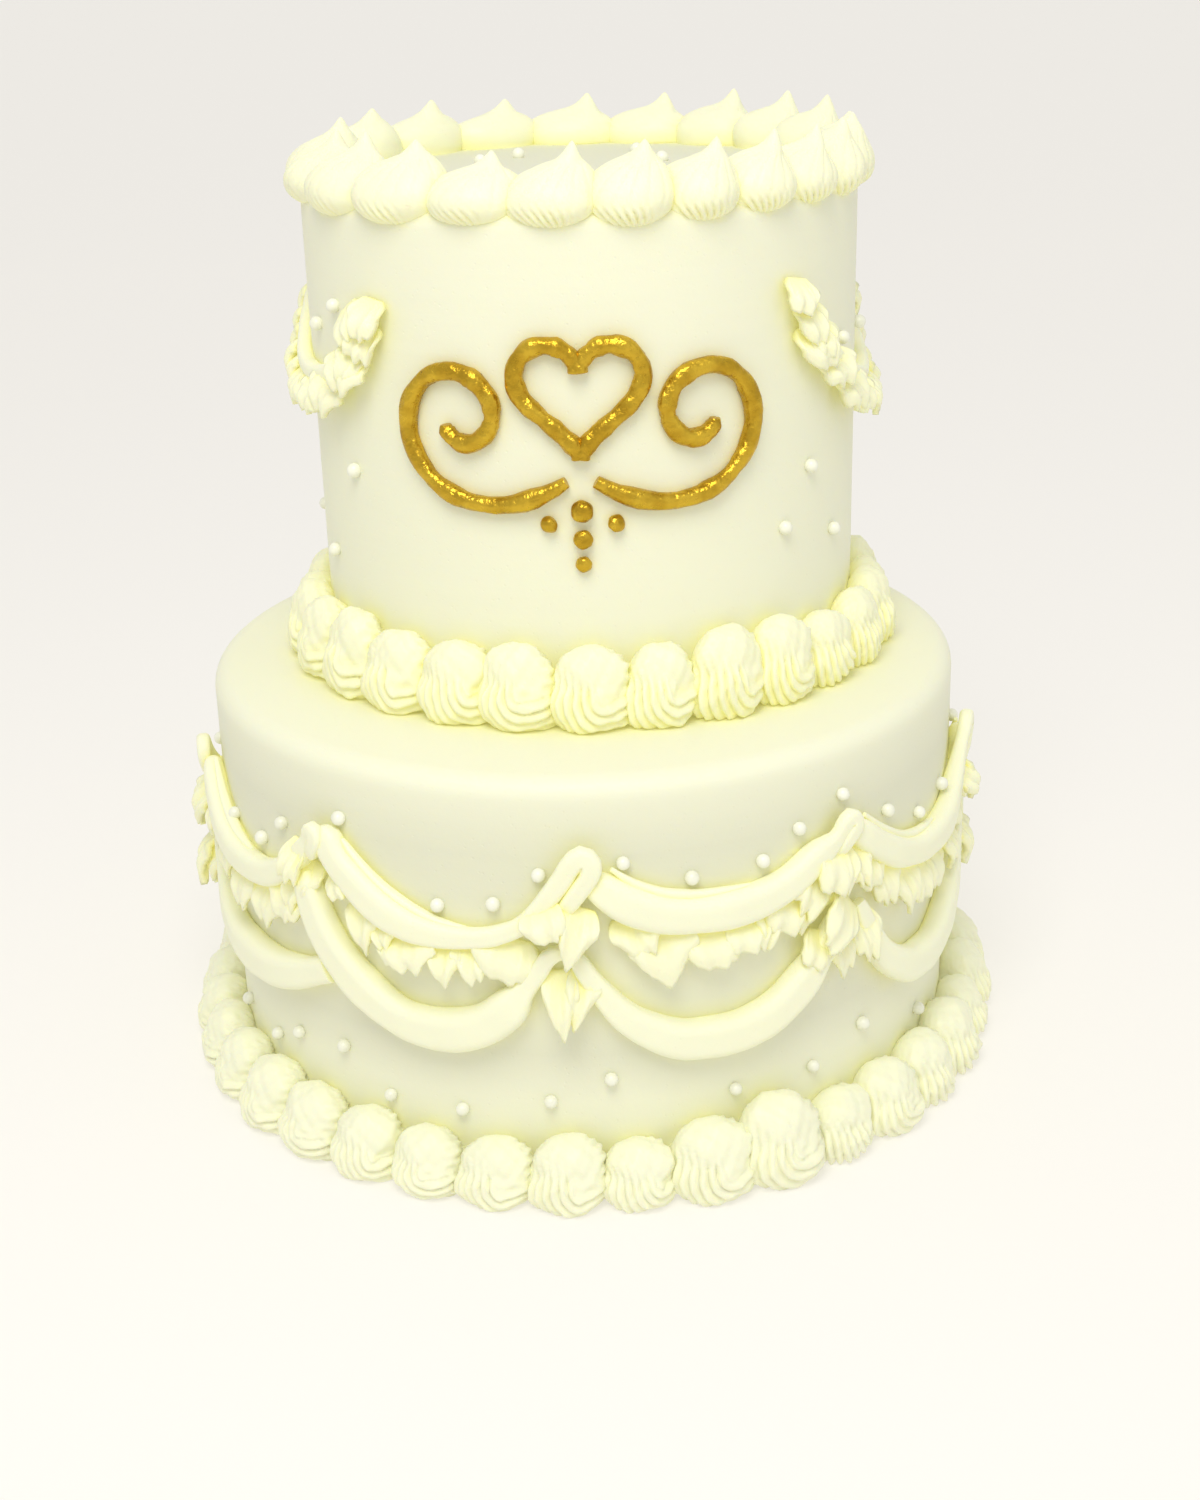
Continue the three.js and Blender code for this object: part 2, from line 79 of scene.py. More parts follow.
# Swags on the lower tier
MEETING_POINTS = [-40, -1.6, 36.8, 78, 118.6, 159.2, 199.8, 240.4, 281]
LOWER_MEETING_POINTS = [-40.6, -4, 38.6, 77, 116.8, 159, 198.4, 238.6, 280.2]
UPPER_SAG = [22.1, 16.8, 20.8, 21, 20, 22, 19, 23, 21]
UPPER_LEAN = [1.15, 0.92, 1.1, 1, 0.9, 1.1, 1, 0.88, 1.08]
LOWER_SAG = [31.5, 34.5, 36.5, 34, 33, 35, 32, 33, 30]
LOWER_LEAN = [1, 0.95, 0.92, 1, 0.95, 1.08, 1, 0.95, 0.8]
SWAG_ROUNDNESS = 2.5
UPPER_GIRTHS = [
    (0.98, 0.6), (1.06, 1.04), (0.9, 0.98), (1, 0.75), (1.05, 1), (0.95, 0.7), (1, 1.04), (1.04, 0.8),
    (0.95, 0.9),
]
LOWER_GIRTHS = [1.02, 1.0, 0.96, 1.04, 1.0, 0.94, 1.06, 1.0, 1.0]
HAIRPINS = [1.0, 0.62, 0.8, 0.7, 0.9, 0.6, 0.85, 0.75, 0.55]
LAST_ROPE = {"drop": 18, "reach": 9.2}
SWAG_TOP = 96
LOWER_ROPE_TOP = 78
SWAG_ROPE = {"width": 9.2, "depth": 6.4}
LOWER_ROPE = {"width": 10.8, "depth": 6.8}
THIN_ROPE = {"width": 3.2, "depth": 3.0, "out": 2.0, "above": 5.2}
ROPE_SINK = 0.4
ROPE_EXTRA_DEPTH = 0.6
ROPE_STEP = 1.6
RUFFLE = {"length": 11, "thickness": 0.88, "below": 3.9}

# Swags on the upper tier
UPPER_SWAGS = {"top": 222, "ends": [42, 112, 160, 205, 250, 317]}
UPPER_SWAG_SAGS = [29, 21, 23, 21, 22]
UPPER_SWAG_LEANS = [1.15, 1, 0.95, 1.05, 1.25]
UPPER_RUFFLE = {"length": 10.5, "thickness": 1.12, "below": 0.4}
UPPER_ROPE = {"width": 4.6, "depth": 4.4, "out": 1.8}

# Sugar pearls, as azimuth and height
PEARL_RADIUS = 2.2
PEARL_SINK = 1.2
PEARL_SIZE = 0.83
PEARL_SIZE_SPREAD = 0.07
LOWER_PEARLS = [
    (-66.1, 83.6), (-55.4, 83.8), (-49.2, 92), (-36.6, 100), (-21.3, 81.2), (-13.3, 83.2), (-6.9, 91.8),
    (4.4, 94.6), (13.7, 88.6), (24.1, 89.6), (29.9, 96), (37.6, 101.6), (47.5, 91), (56.8, 84), (66.8, 85),
    (-70, 21.5), (-56.5, 22.4), (-49.7, 28.4), (-39.3, 31.5), (-31, 21.2), (-19.4, 21.8), (-6.5, 26.5),
    (2, 33), (19.9, 25), (32.8, 24.6), (42.8, 30.7), (59.1, 21.2),
]
BACK_SWAGS = range(3, 8)
PEARLS_ABOVE_SWAG = [0.14, 0.45, 0.82]
PEARL_RISE = 9.2
PEARL_BAND = {"low": 22, "high": 32, "per_swag": 2}
UPPER_PEARLS = [
    (-67, 151), (-54, 177), (-57.7, 219.6), (-67.5, 213), (50, 175.5), (42, 161), (60, 155), (63.5, 206),
    (82, 205.5),
]
BACK_PEARLS = {"count": 9, "first": 84, "last": 276, "low": 152, "high": 169}
TOP_PEARLS = {"count": 9, "radius": 43}

# Gold piping on the front of the upper tier. A drop is (along, up, radius).
GOLD = {"azimuth": -1.5, "height": 193, "width": 4.6, "depth": 1.12 * 3.8, "out": 1.5}
HEART = {"scale": 0.98, "rise": 10}
SCROLL = {"along": 30.5, "up": 3, "outer": 18.5, "inner": 4.2, "flare": 12.5, "start": -150, "turns": 1.34}
GOLD_DROPS = [(0, -20, 2.9), (0, -27.5, 2.5), (0, -34, 2.1), (-8.4, -23.5, 2.3), (8.4, -23.5, 2.3)]


def uneven(seed):
    """A number from -1 to 1 that is always the same for the same seed."""
    value = sin(seed * 12.9898 + 78.233) * 43758.5453
    return 2 * (value - floor(value)) - 1


def between(low, high, seed):
    return low + (high - low) * (0.5 + 0.5 * uneven(seed))


def kind_of(count, seed):
    """One of a number of kinds, by its number."""
    return int(count * (0.5 + 0.4999 * uneven(seed)))


def smoothstep(low, high, value):
    share = np.clip((value - low) / (high - low), 0, 1)
    return share * share * (3 - 2 * share)


def wall_point(radius, azimuth, height, shift=(0, 0)):
    angle = radians(azimuth)
    return np.array([shift[0] + radius * sin(angle), shift[1] - radius * cos(angle), height])


def beside(azimuth, along, radius=LOWER_RADIUS):
    """The azimuth of a place some millimetres along the wall."""
    return azimuth + degrees(along / radius)


def numbered(name, count):
    return [f"{name}_{number + 1}" for number in range(count)]


def add_object(name, data, collection=None):
    made = bpy.data.objects.new(name, data)
    (collection or bpy.context.scene.collection).objects.link(made)
    return made


# Meshes

def mesh_of(name, points, faces=(), edges=()):
    mesh = bpy.data.meshes.new(name)
    mesh.from_pydata((np.asarray(points, dtype=float) * MM).tolist(), edges, faces)
    mesh.update()
    mesh.shade_smooth()
    return mesh


def add_numbers(mesh, name, values):
    """Keep one number or one vector for each vertex of a mesh."""
    kind, part = {1: ("FLOAT", "value"), 2: ("FLOAT_VECTOR", "vector")}[np.ndim(values)]
    attribute = mesh.attributes.new(name, kind, "POINT")
    attribute.data.foreach_set(part, np.asarray(values, dtype=np.float32).ravel())


def triangles_of(mesh):
    """A mesh's points, and the numbers of the three points of each of its triangles, one after another."""
    points = np.empty(len(mesh.vertices) * 3)
    mesh.vertices.foreach_get("co", points)
    mesh.calc_loop_triangles()
    corners = np.empty(len(mesh.loop_triangles) * 3, dtype=int)
    mesh.loop_triangles.foreach_get("vertices", corners)
    return points.reshape(-1, 3), corners


def closed_shape(name, points, faces, crease=0.0, tip=0.0):
    """A closed mesh with its faces outwards. Each point has its share of painted crevice shade and its
    share in a leaning tip.
    """
    mesh = mesh_of(name, points, faces)
    place, corners = triangles_of(mesh)
    a, b, c = (place[corners[i::3]] for i in range(3))
    if np.einsum("ij,ij->i", a, np.cross(b, c)).sum() < 0:
        mesh.flip_normals()
    add_numbers(mesh, "crease", np.broadcast_to(crease, len(place)))
    add_numbers(mesh, "tip", np.broadcast_to(tip, len(place)))
    return mesh


def ball_shape(name, points, columns, crease=0.0, tip=0.0):
    """A closed ball: a first pole, rings of columns and a last pole, in that order."""
    faces = []
    last = len(points) - 1
    for column in range(columns):
        after = (column + 1) % columns
        faces.append((0, 1 + column, 1 + after))
        for here in range(1, last - columns, columns):
            below = here + columns
            faces.append((here + column, below + column, below + after, here + after))
        faces.append((last - columns + column, last, last - columns + after))
    return closed_shape(name, points, faces, crease, tip)


def ball_angles(polar, around):
    """The angles of a ball's points, from its first pole and around it: a pole, every ring, and a pole."""
    polar_grid, around_grid = np.meshgrid(polar, around, indexing="ij")
    return np.concatenate([[0], polar_grid.ravel(), [pi]]), np.concatenate([[0], around_grid.ravel(), [0]])


def ring_angles(edge, near, far):
    """Rings from pole to pole, close together up to an angle."""
    return np.concatenate([np.linspace(0, edge, near)[1:], np.linspace(edge, pi, far)[1:-1]])


# Piped shells. In a shell's own space X runs along the border, Z is up, and -Y points away from the wall.

CORNER_HEIGHT, CORNER_DEPTH = 18.6, 15.6
# What a corner shell is taken to measure when it is scaled, so that its lumps stay inside its place.
CORNER_FULL_WIDTH, CORNER_FULL_DEPTH = 20.6, 15.75
RIM_FULL_WIDTH = 19.7
CORNER_COLUMNS = 72
PER_RADIAN = 9.8
RIM_COLUMNS, RIM_FRONT_COLUMNS, RIM_FRONT = 88, 78, 1.95


def swirl_directions(ahead):
    """Headings about a swirl: how far a point is from it, how far round, and the direction itself."""
    polar, around = ball_angles(ring_angles(2.05, 54, 7),
        np.linspace(0, 2 * pi, CORNER_COLUMNS, endpoint=False))
    right = np.cross((0, 0, 1), ahead)
    right /= np.linalg.norm(right)
    above = np.cross(ahead, right)
    sideways = np.cos(around)[:, None] * right + np.sin(around)[:, None] * above
    return polar, around, np.cos(polar)[:, None] * ahead + np.sin(polar)[:, None] * sideways


def rim_directions():
    """Headings about a shell's top, closer together on the side that shows."""
    front = np.linspace(-RIM_FRONT, RIM_FRONT, RIM_FRONT_COLUMNS)
    back = np.linspace(RIM_FRONT, 2 * pi - RIM_FRONT, RIM_COLUMNS - RIM_FRONT_COLUMNS + 2)[1:-1]
    polar, around = ball_angles(ring_angles(2.3, 39, 8), np.concatenate([front, back]))
    heading = np.stack([np.sin(polar) * np.sin(around), -np.sin(polar) * np.cos(around), np.cos(polar)],
        axis=1)
    return polar, around, heading


def reach_of_lobe(heading, origin, centre, half_size):
    """How far it is from the origin, along each heading, to the far side of an oval lobe."""
    start = (np.array(origin) - centre) / half_size
    along = heading / half_size
    mixed = along @ start
    length = (along * along).sum(axis=1)
    return (-mixed + np.sqrt(mixed ** 2 - length * (start @ start - 1))) / length


def soft_max(first, second, softness):
    return softness * np.logaddexp(first / softness, second / softness)


def groove_between(place, spacing, start):
    """How deep in the groove between two star-tip ridges a place is: sharp grooves and round crests."""
    return 1 - np.abs(np.sin(pi * (place / spacing + start))) ** 0.75


def corner_shell(name, swirl, spacing, groove, tilt, seed):
    """A dollop on the wall. Its ridges run down its left side and bend to the right under its head."""
    height, depth = CORNER_HEIGHT, CORNER_DEPTH
    origin = np.array((0, -0.3 * depth, 0.44 * height))
    ahead = np.array((swirl[0], -0.95 * depth, swirl[1])) - origin
    ahead /= np.linalg.norm(ahead)
    polar, around, heading = swirl_directions(ahead)
    foot = reach_of_lobe(heading, origin, (0, -0.3 * depth, 0.3 * height),
        (11.6, 0.69 * depth, 0.44 * height))
    head_size = 1 + 0.05 * uneven(seed)
    head = reach_of_lobe(heading, origin, (0.3 + 0.7 * uneven(seed + 1), -0.36 * depth, 0.58 * height),
        (9.9 * head_size, 0.47 * depth * head_size, 0.42 * height))
    reach = soft_max(foot, head, 0.4)
    on_foot = 1 / (1 + np.exp(-(foot - head + 0.1) / 0.4))
    right, above = PER_RADIAN * polar * np.cos(around), PER_RADIAN * polar * np.sin(around)
    slant = right + tilt * above
    bend = np.hypot(np.maximum(0, -slant), np.maximum(0, -above + 0.12 * np.maximum(0, right)))
    dip = groove_between(bend, spacing, 0.37 * seed)
    low = smoothstep(0.9 * height, 0.35 * height, (origin + reach[:, None] * heading)[:, 2])
    edge = smoothstep(5.0, 10.0, np.abs(right))
    ridged = np.maximum(on_foot, 0.6 * edge)
    strength = smoothstep(0.6, 3.0, bend) * (0.26 + 0.74 * ridged) * (0.35 + 0.65 * low)
    hollow = np.exp(-((right - 2.4) / 3.0) ** 2 - ((above + 0.6) / 1.4) ** 2)
    lump = 0.5 * np.sin(0.5 * right + seed) * np.sin(0.45 * above + 2 * seed)
    lump = lump + 0.22 * np.sin(1.35 * right + 3 * seed) * np.sin(1.2 * above + seed)
    lump = lump * smoothstep(2.4, 1.2, polar)
    teeth = 0.5 * np.sin(2 * pi * above / 2.9 + seed)
    teeth = teeth * smoothstep(5.5, 9.0, right) * smoothstep(-1, 2, above)
    reach = reach + groove * strength * (0.3 - dip) - 1.1 * hollow + lump + teeth
    x, y, z = (origin + reach[:, None] * heading).T
    x = x + 0.4 * tilt * (z - 0.4 * height)
    points = np.stack([x, np.clip(y, -0.978 * depth, 4), np.clip(z, 0, height)], axis=1)
    # The grooves and the hollow under the head get painted crevice shade.
    return ball_shape(name, points, CORNER_COLUMNS, np.clip(0.5 * strength * dip + 0.3 * hollow, 0, 1))


def rim_shell(name, tip_height, lean_share, spacing, seed):
    """A dollop on the rim of the upper tier that sags over its edge and ends in a pulled fin."""
    polar, around, heading = rim_directions()
    origin = np.array((0, -0.6, 2.6))
    foot = reach_of_lobe(heading, origin, (0, -0.9, 1.4), (11.8, 10.0, 7.0))
    head = reach_of_lobe(heading, origin, (0.3, 0.2, 3.6), (11.0, 9.0, 6.5 + 0.4 * uneven(seed)))
    reach = soft_max(foot, head, 0.6)
    height = (origin + reach[:, None] * heading)[:, 2]
    x_along = np.where(around > pi, 0, 10.4 * around)
    dip = groove_between(x_along + 0.7 * height, spacing, 0.41 * seed)
    strength = smoothstep(2.0, -3.0, height) * smoothstep(9.0, 1.0, x_along) * smoothstep(2.6, 2.1, polar)
    streak = groove_between(around + 0.25 * polar, 0.44, 0.3 * seed) * smoothstep(0.25, 0.8, polar)
    streak = streak * smoothstep(2.3, 1.7, polar)
    reach = reach + 1.2 * strength * (0.25 - dip) + 0.5 * (1 - strength) * streak * (0.25 - streak)
    lump = 0.4 * np.sin(3 * around + 2 * seed) * np.sin(2.6 * polar + seed) * smoothstep(0.2, 0.7, polar)
    reach = reach + lump * smoothstep(2.3, 1.9, polar)
    points = origin + reach[:, None] * heading
    points[:, 2] += tip_height * np.exp(-(polar / 0.3) ** 1.6)
    tip = lean_share * np.exp(-(polar / 0.85) ** 2)
    # The grooves get painted crevice shade.
    return ball_shape(name, points, RIM_COLUMNS, np.clip(0.5 * strength * dip, 0, 1), tip)


# Petals of the ruffles and rosettes. A petal hangs from its own origin, with -Y away from the wall.

PETAL_COLUMNS, PETAL_ROWS = 33, 12


def petal(name, width, length, belly, skew, outline, seed):
    """A cupped petal with a jagged lower edge. Its outline is (place across, how far down it reaches)."""
    across = np.linspace(-1, 1, PETAL_COLUMNS)
    edge = np.interp(across, *zip(*outline))
    edge += 0.02 * np.array([uneven(seed * 40 + i) for i in range(PETAL_COLUMNS)])
    a, d = np.meshgrid(across, np.linspace(0, 1, PETAL_ROWS))

    def rise(full):
        return np.sin(0.5 * pi * np.minimum(1, d / full))

    x = 0.5 * width * a * (0.66 + 0.34 * rise(0.55)) + skew * d * length
    z = -length * d * edge[None, :]
    bulge = rise(0.74) ** 1.3 - 0.35 * np.maximum(0, d - 0.74)
    fold = 0.26 * a ** 2 + 0.1 * np.cos(2.2 * pi * (a + 0.3 * uneven(seed)))
    out = 1.0 + belly * bulge * (1 - fold)
    thick = 2.8 - 1.3 * d
    front_face = np.stack([x, -out, z], axis=-1).reshape(-1, 3)
    back_face = np.stack([x * 0.96, -np.maximum(0.1, out - thick), z * 0.985], axis=-1).reshape(-1, 3)

    count = PETAL_COLUMNS * PETAL_ROWS
    rows = np.arange(count).reshape(PETAL_ROWS, PETAL_COLUMNS).tolist()
    faces = []
    for here, below in zip(rows, rows[1:]):
        for corners in zip(here, below, below[1:], here[1:]):
            faces += [corners, tuple(corner + count for corner in reversed(corners))]
    border = [*rows[0], *(row[-1] for row in rows[1:]), *rows[-1][-2::-1],
        *(row[0] for row in rows[-2:0:-1])]
    for here, after in zip(border, border[1:] + border[:1]):
        faces.append((here, after, after + count, here + count))
    # Painted crevice shade on the upper part of the front, under the rope, and on the back.
    crease = np.concatenate([np.clip(0.5 - 1.1 * d, 0, 1).ravel(), np.full(count, 0.3)])
    return closed_shape(name, np.concatenate([front_face, back_face]), faces, crease)


def small_ball(name, rings, columns, half_size, lumps, seed):
    """A ball, or an uneven drop where its lumps are over 0."""
    polar, around = ball_angles(np.linspace(0, pi, rings + 2)[1:-1],
        np.linspace(0, 2 * pi, columns, endpoint=False))
    heading = np.stack([np.sin(polar) * np.cos(around), np.sin(polar) * np.sin(around), np.cos(polar)],
        axis=1)
    lump = 0.035 * np.sin(3 * around + seed) * np.sin(polar) + 0.03 * np.sin(5 * polar + 2 * around)
    return ball_shape(name, (1 + lumps * lump)[:, None] * (heading * half_size), columns)


# Node trees

SOCKETS = {"geometry": "Geometry", "shapes": "Collection", "finish": "Material", "whole": "Int",
           "vector": "Vector", "colour": "Color"}
CREVICE = {"rays": 14, "reach": 9, "gain": 0.9}


class Tree:
    """A node tree, and a short way to add and join its nodes. A group has named inputs and outputs, each
    with its kind, or with the number that it starts at."""

    def __init__(self, tree, inputs=None, outputs=None):
        self.tree = tree
        for side, labels in (("INPUT", inputs or {}), ("OUTPUT", outputs or {})):
            for label, kind in labels.items():
                socket_type = "NodeSocket" + SOCKETS.get(kind, "Float")
                socket = tree.interface.new_socket(label, in_out=side, socket_type=socket_type)
                if side == "INPUT" and kind not in SOCKETS:
                    socket.default_value = kind
        if inputs:
            self.start = self.add("NodeGroupInput").outputs
            self.end = self.add("NodeGroupOutput").inputs

    def join(self, value, socket):
        if isinstance(value, bpy.types.Node):
            value = value.outputs[0]
        if isinstance(value, bpy.types.NodeSocket):
            self.tree.links.new(value, socket)
        else:
            socket.default_value = value

    def fill(self, node, **sockets):
        """Join or set a node's sockets. A label has _ for each space in the socket's name."""
        for label, value in sockets.items():
            self.join(value, node.inputs[label.replace("_", " ")])
        return node

    def add(self, kind, settings=None, **sockets):
        node = self.tree.nodes.new(kind)
        for label, value in (settings or {}).items():
            setattr(node, label, value)
        return self.fill(node, **sockets)

    def math(self, operation, *values, kind="ShaderNodeMath"):
        node = self.add(kind, {"operation": operation})
        for value, socket in zip(values, node.inputs):
            self.join(value, socket)
        return node.outputs[0]

    def plus(self, first, second):
        return self.math("ADD", first, second)

    def minus(self, first, second):
        return self.math("SUBTRACT", first, second)

    def times(self, first, second):
        return self.math("MULTIPLY", first, second)

    def over(self, first, second):
        return self.math("DIVIDE", first, second)

    def vectors(self, operation, *values):
        return self.math(operation, *values, kind="ShaderNodeVectorMath")

    def scaled(self, vector, scale):
        return self.add("ShaderNodeVectorMath", {"operation": "SCALE"}, Vector=vector,
            Scale=scale).outputs[0]

    def attribute(self, name, kind="FLOAT"):
        return self.add("GeometryNodeInputNamedAttribute", {"data_type": kind},
            Name=name).outputs["Attribute"]

    def noise(self, place, scale, detail=2.0):
        """Soft noise about one half."""
        return self.add("ShaderNodeTexNoise", Vector=place, Scale=scale, Detail=detail).outputs["Fac"]

    def level_noise(self, place, scale, detail=2.0):
        """Soft noise from -1 to 1."""
        return self.times(self.minus(self.noise(place, scale, detail), 0.5), 2.0)

    def finish(self, geometry):
        coated = self.add("GeometryNodeSetMaterial", Geometry=geometry, Material=self.start["Icing"])
        self.join(coated, self.end["Geometry"])
        return self.tree

    def finish_lumpy(self, geometry, lump, **where):
        """Push the points out along their normals, and finish the geometry as a smooth mesh."""
        offset = self.scaled(self.add("GeometryNodeInputNormal"), lump)
        moved = self.add("GeometryNodeSetPosition", Geometry=geometry, Offset=offset, **where)
        smooth = self.add("GeometryNodeSetShadeSmooth", Geometry=moved)
        return self.finish(self.add("GeometryNodeRealizeInstances", Geometry=smooth))

    def ramp(self, factor, stops):
        """A colour that changes with a factor, given as (factor, colour) from low to high."""
        node = self.add("ShaderNodeValToRGB", Fac=factor)
        elements = node.color_ramp.elements
        while len(elements) < len(stops):
            elements.new(0.5)
        for element, (place, colour) in zip(elements, stops):
            element.position = place
            element.color = (*colour, 1)
        return node.outputs["Color"]

    def bump(self, strength, distance, height):
        return self.add("ShaderNodeBump", Strength=strength, Distance=distance, Height=height)


def geometry_tree(name, inputs):
    tree = bpy.data.node_groups.new(name, "GeometryNodeTree")
    return Tree(tree, {"Geometry": "geometry", **inputs}, {"Geometry": "geometry"})


def placing_tree():
    """Places shapes on points, as piped or dropped one after another, each with its own size and turn."""
    tree = geometry_tree("Placed one by one", {"Shapes": "shapes", "Size": 1.0, "Size Spread": 0.0,
        "Tip Lean": 0.0, "Seed": "whole", "Icing": "finish"})
    get = tree.start
    shapes = tree.add("GeometryNodeCollectionInfo", Collection=get["Shapes"], Separate_Children=True,
        Reset_Children=True)
    spread = tree.add("FunctionNodeRandomValue", {"data_type": "FLOAT"}, Seed=get["Seed"])
    spread.inputs[2].default_value = -1.0
    varied = tree.times(get["Size"], tree.plus(1.0, tree.times(get["Size Spread"], spread.outputs[1])))
    placed = tree.add("GeometryNodeInstanceOnPoints", Points=get["Geometry"], Instance=shapes,
        Pick_Instance=True, Instance_Index=tree.attribute("kind", "INT"),
        Rotation=tree.attribute("turn", "FLOAT_VECTOR"),
        Scale=tree.scaled(tree.attribute("size", "FLOAT_VECTOR"), varied))
    real = tree.add("GeometryNodeRealizeInstances", Geometry=placed)
    lean = tree.add("ShaderNodeCombineXYZ", X=tree.times(get["Tip Lean"], tree.attribute("tip")))
    return tree.finish(tree.add("GeometryNodeSetPosition", Geometry=real, Offset=lean))


def rope_tree():
    """Pipes a rope of icing along a line, with a rounded box section and a slightly uneven surface."""
    tree = geometry_tree("Piped along a line", {"Width": 0.008, "Depth": 0.006, "Corner": 0.4,
        "Unevenness": 0.0002, "Lump Scale": 120.0, "Sides": "whole", "Icing": "finish"})
    get = tree.start
    line = tree.add("GeometryNodeMeshToCurve", Mesh=get["Geometry"])
    facing = tree.add("GeometryNodeSetCurveNormal", {"mode": "FREE"}, Curve=line,
        Normal=tree.attribute("outward", "FLOAT_VECTOR"))
    box = tree.add("GeometryNodeCurvePrimitiveQuadrilateral", {"mode": "RECTANGLE"}, Width=get["Depth"],
        Height=get["Width"])
    rounded = tree.add("GeometryNodeFilletCurve", {"mode": "POLY"}, Curve=box, Count=8, Limit_Radius=True,
        Radius=tree.times(get["Depth"], get["Corner"]))
    section = tree.add("GeometryNodeResampleCurve", Curve=rounded, Count=get["Sides"])
    tube = tree.add("GeometryNodeCurveToMesh", Curve=facing, Profile_Curve=section,
        Scale=tree.attribute("girth"), Fill_Caps=True)
    lump = tree.level_noise(tree.add("GeometryNodeInputPosition"), get["Lump Scale"], 3.0)
    return tree.finish_lumpy(tube, tree.times(lump, get["Unevenness"]))


def tier_tree():
    """A round tier with a softly rounded rim, smoothed by hand with a spatula."""
    tree = geometry_tree("Smoothed tier", {"Radius": 0.1, "Bottom": 0.0, "Top": 0.1, "Rim Rounding": 0.005,
        "Sideways": 0.0, "Backwards": 0.0, "Unevenness": 0.0002, "Icing": "finish"})
    get = tree.start
    height = tree.minus(get["Top"], get["Bottom"])
    half_height = tree.times(height, 0.5)
    drum = tree.add("GeometryNodeMeshCylinder", {"fill_type": "NGON"}, Vertices=192, Side_Segments=90,
        Fill_Segments=56, Radius=get["Radius"], Depth=height)
    here = tree.add("GeometryNodeInputPosition")
    x, y, z = tree.add("ShaderNodeSeparateXYZ", Vector=here).outputs
    flat = tree.add("ShaderNodeCombineXYZ", X=x, Y=y)
    reach = tree.add("ShaderNodeVectorMath", {"operation": "LENGTH"}, Vector=flat).outputs["Value"]
    core_radius = tree.math("MINIMUM", reach, tree.minus(get["Radius"], get["Rim Rounding"]))
    core_top = tree.minus(half_height, get["Rim Rounding"])
    inward = tree.over(core_radius, tree.math("MAXIMUM", reach, 0.00001))
    core = tree.add("ShaderNodeCombineXYZ", X=tree.times(x, inward), Y=tree.times(y, inward),
        Z=tree.math("MINIMUM", z, core_top))
    away = tree.vectors("NORMALIZE", tree.vectors("SUBTRACT", here, core))
    rounded = tree.vectors("ADD", core, tree.scaled(away, get["Rim Rounding"]))
    in_rim = tree.times(tree.math("GREATER_THAN", reach, core_radius),
        tree.math("GREATER_THAN", z, core_top))
    shaped = tree.add("GeometryNodeSetPosition", Geometry=drum, Selection=in_rim, Position=rounded)
    middle = tree.add("ShaderNodeCombineXYZ", X=get["Sideways"], Y=get["Backwards"],
        Z=tree.plus(get["Bottom"], half_height))
    moved = tree.add("GeometryNodeTransform", Geometry=shaped, Translation=middle)
    strokes = tree.level_noise(tree.vectors("MULTIPLY", here, (9.0, 9.0, 34.0)), 1.0)
    above_foot = tree.math("GREATER_THAN", z, tree.plus(get["Bottom"], 0.002))
    return tree.finish_lumpy(moved, tree.times(strokes, get["Unevenness"]), Selection=above_foot)


def crevice_tree():
    """Measures with rays how shut in each point of a mesh is by the rest of it, and adds that to the
    point's painted crevice shade.
    """
    tree = geometry_tree("Crevice depth", {"Reach": 0.01, "Gain": 1.0})
    get = tree.start
    normal = tree.add("GeometryNodeInputNormal")
    here = tree.vectors("ADD", tree.add("GeometryNodeInputPosition"), tree.scaled(normal, 0.00012))
    total = 0.0
    for number in range(CREVICE["rays"]):
        height = 1 - (2 * number + 1) / CREVICE["rays"]
        turn = number * pi * (3 - sqrt(5))
        level = sqrt(1 - height * height)
        heading = tree.vectors("ADD", normal, (level * cos(turn), level * sin(turn), height))
        ray = tree.add("GeometryNodeRaycast", Target_Geometry=get["Geometry"], Source_Position=here,
            Ray_Direction=heading, Ray_Length=get["Reach"])
        near = tree.minus(1.0, tree.over(ray.outputs["Hit Distance"], get["Reach"]))
        total = tree.plus(total, tree.times(ray.outputs["Is Hit"], near))
    share = tree.times(tree.over(total, CREVICE["rays"]), get["Gain"])
    crease = tree.math("MINIMUM", 1.0, tree.plus(share, tree.attribute("crease")))
    kept = tree.add("GeometryNodeStoreNamedAttribute", {"data_type": "FLOAT", "domain": "POINT"},
        Geometry=get["Geometry"], Name="crease", Value=crease)
    tree.join(kept, tree.end["Geometry"])
    return tree.tree


shape_collections = []


def shape_collection(name, maker, kinds):
    """A collection of shapes, made from a list of kinds, for a tree to pick from by their number."""
    collection = bpy.data.collections.new(name + "_shapes")
    bpy.context.scene.collection.children.link(collection)
    for number, kind in enumerate(kinds):
        shape = f"{name}_{'abcdef'[number]}"
        add_object(shape, maker(shape, *kind, number + 1), collection)
    shape_collections.append(collection)
    return collection


def grow(name, tree, source, values):
    """Run a tree on a source mesh, and keep the plain mesh that it makes as a piece at the origin."""
    holder = add_object(name + "_source", source)
    modifier = holder.modifiers.new("Grow", "NODES")
    modifier.node_group = tree
    for item in tree.interface.items_tree:
        if item.in_out == "INPUT" and item.name in values:
            modifier[item.identifier] = values[item.name]
    graph = bpy.context.evaluated_depsgraph_get()
    mesh = bpy.data.meshes.new_from_object(holder.evaluated_get(graph), preserve_all_data_layers=True,
        depsgraph=graph)
    bpy.data.objects.remove(holder)
    mesh.name = name
    return add_object(name, mesh)


def points_mesh(name, places):
    """A mesh of loose points. Each place is a point, a turn, a size and the number of its shape."""
    points, turns, sizes, kinds = zip(*places)
    mesh = mesh_of(name, points)
    add_numbers(mesh, "turn", turns)
    add_numbers(mesh, "size", sizes)
    mesh.attributes.new("kind", "INT", "POINT").data.foreach_set("value", kinds)
    return mesh


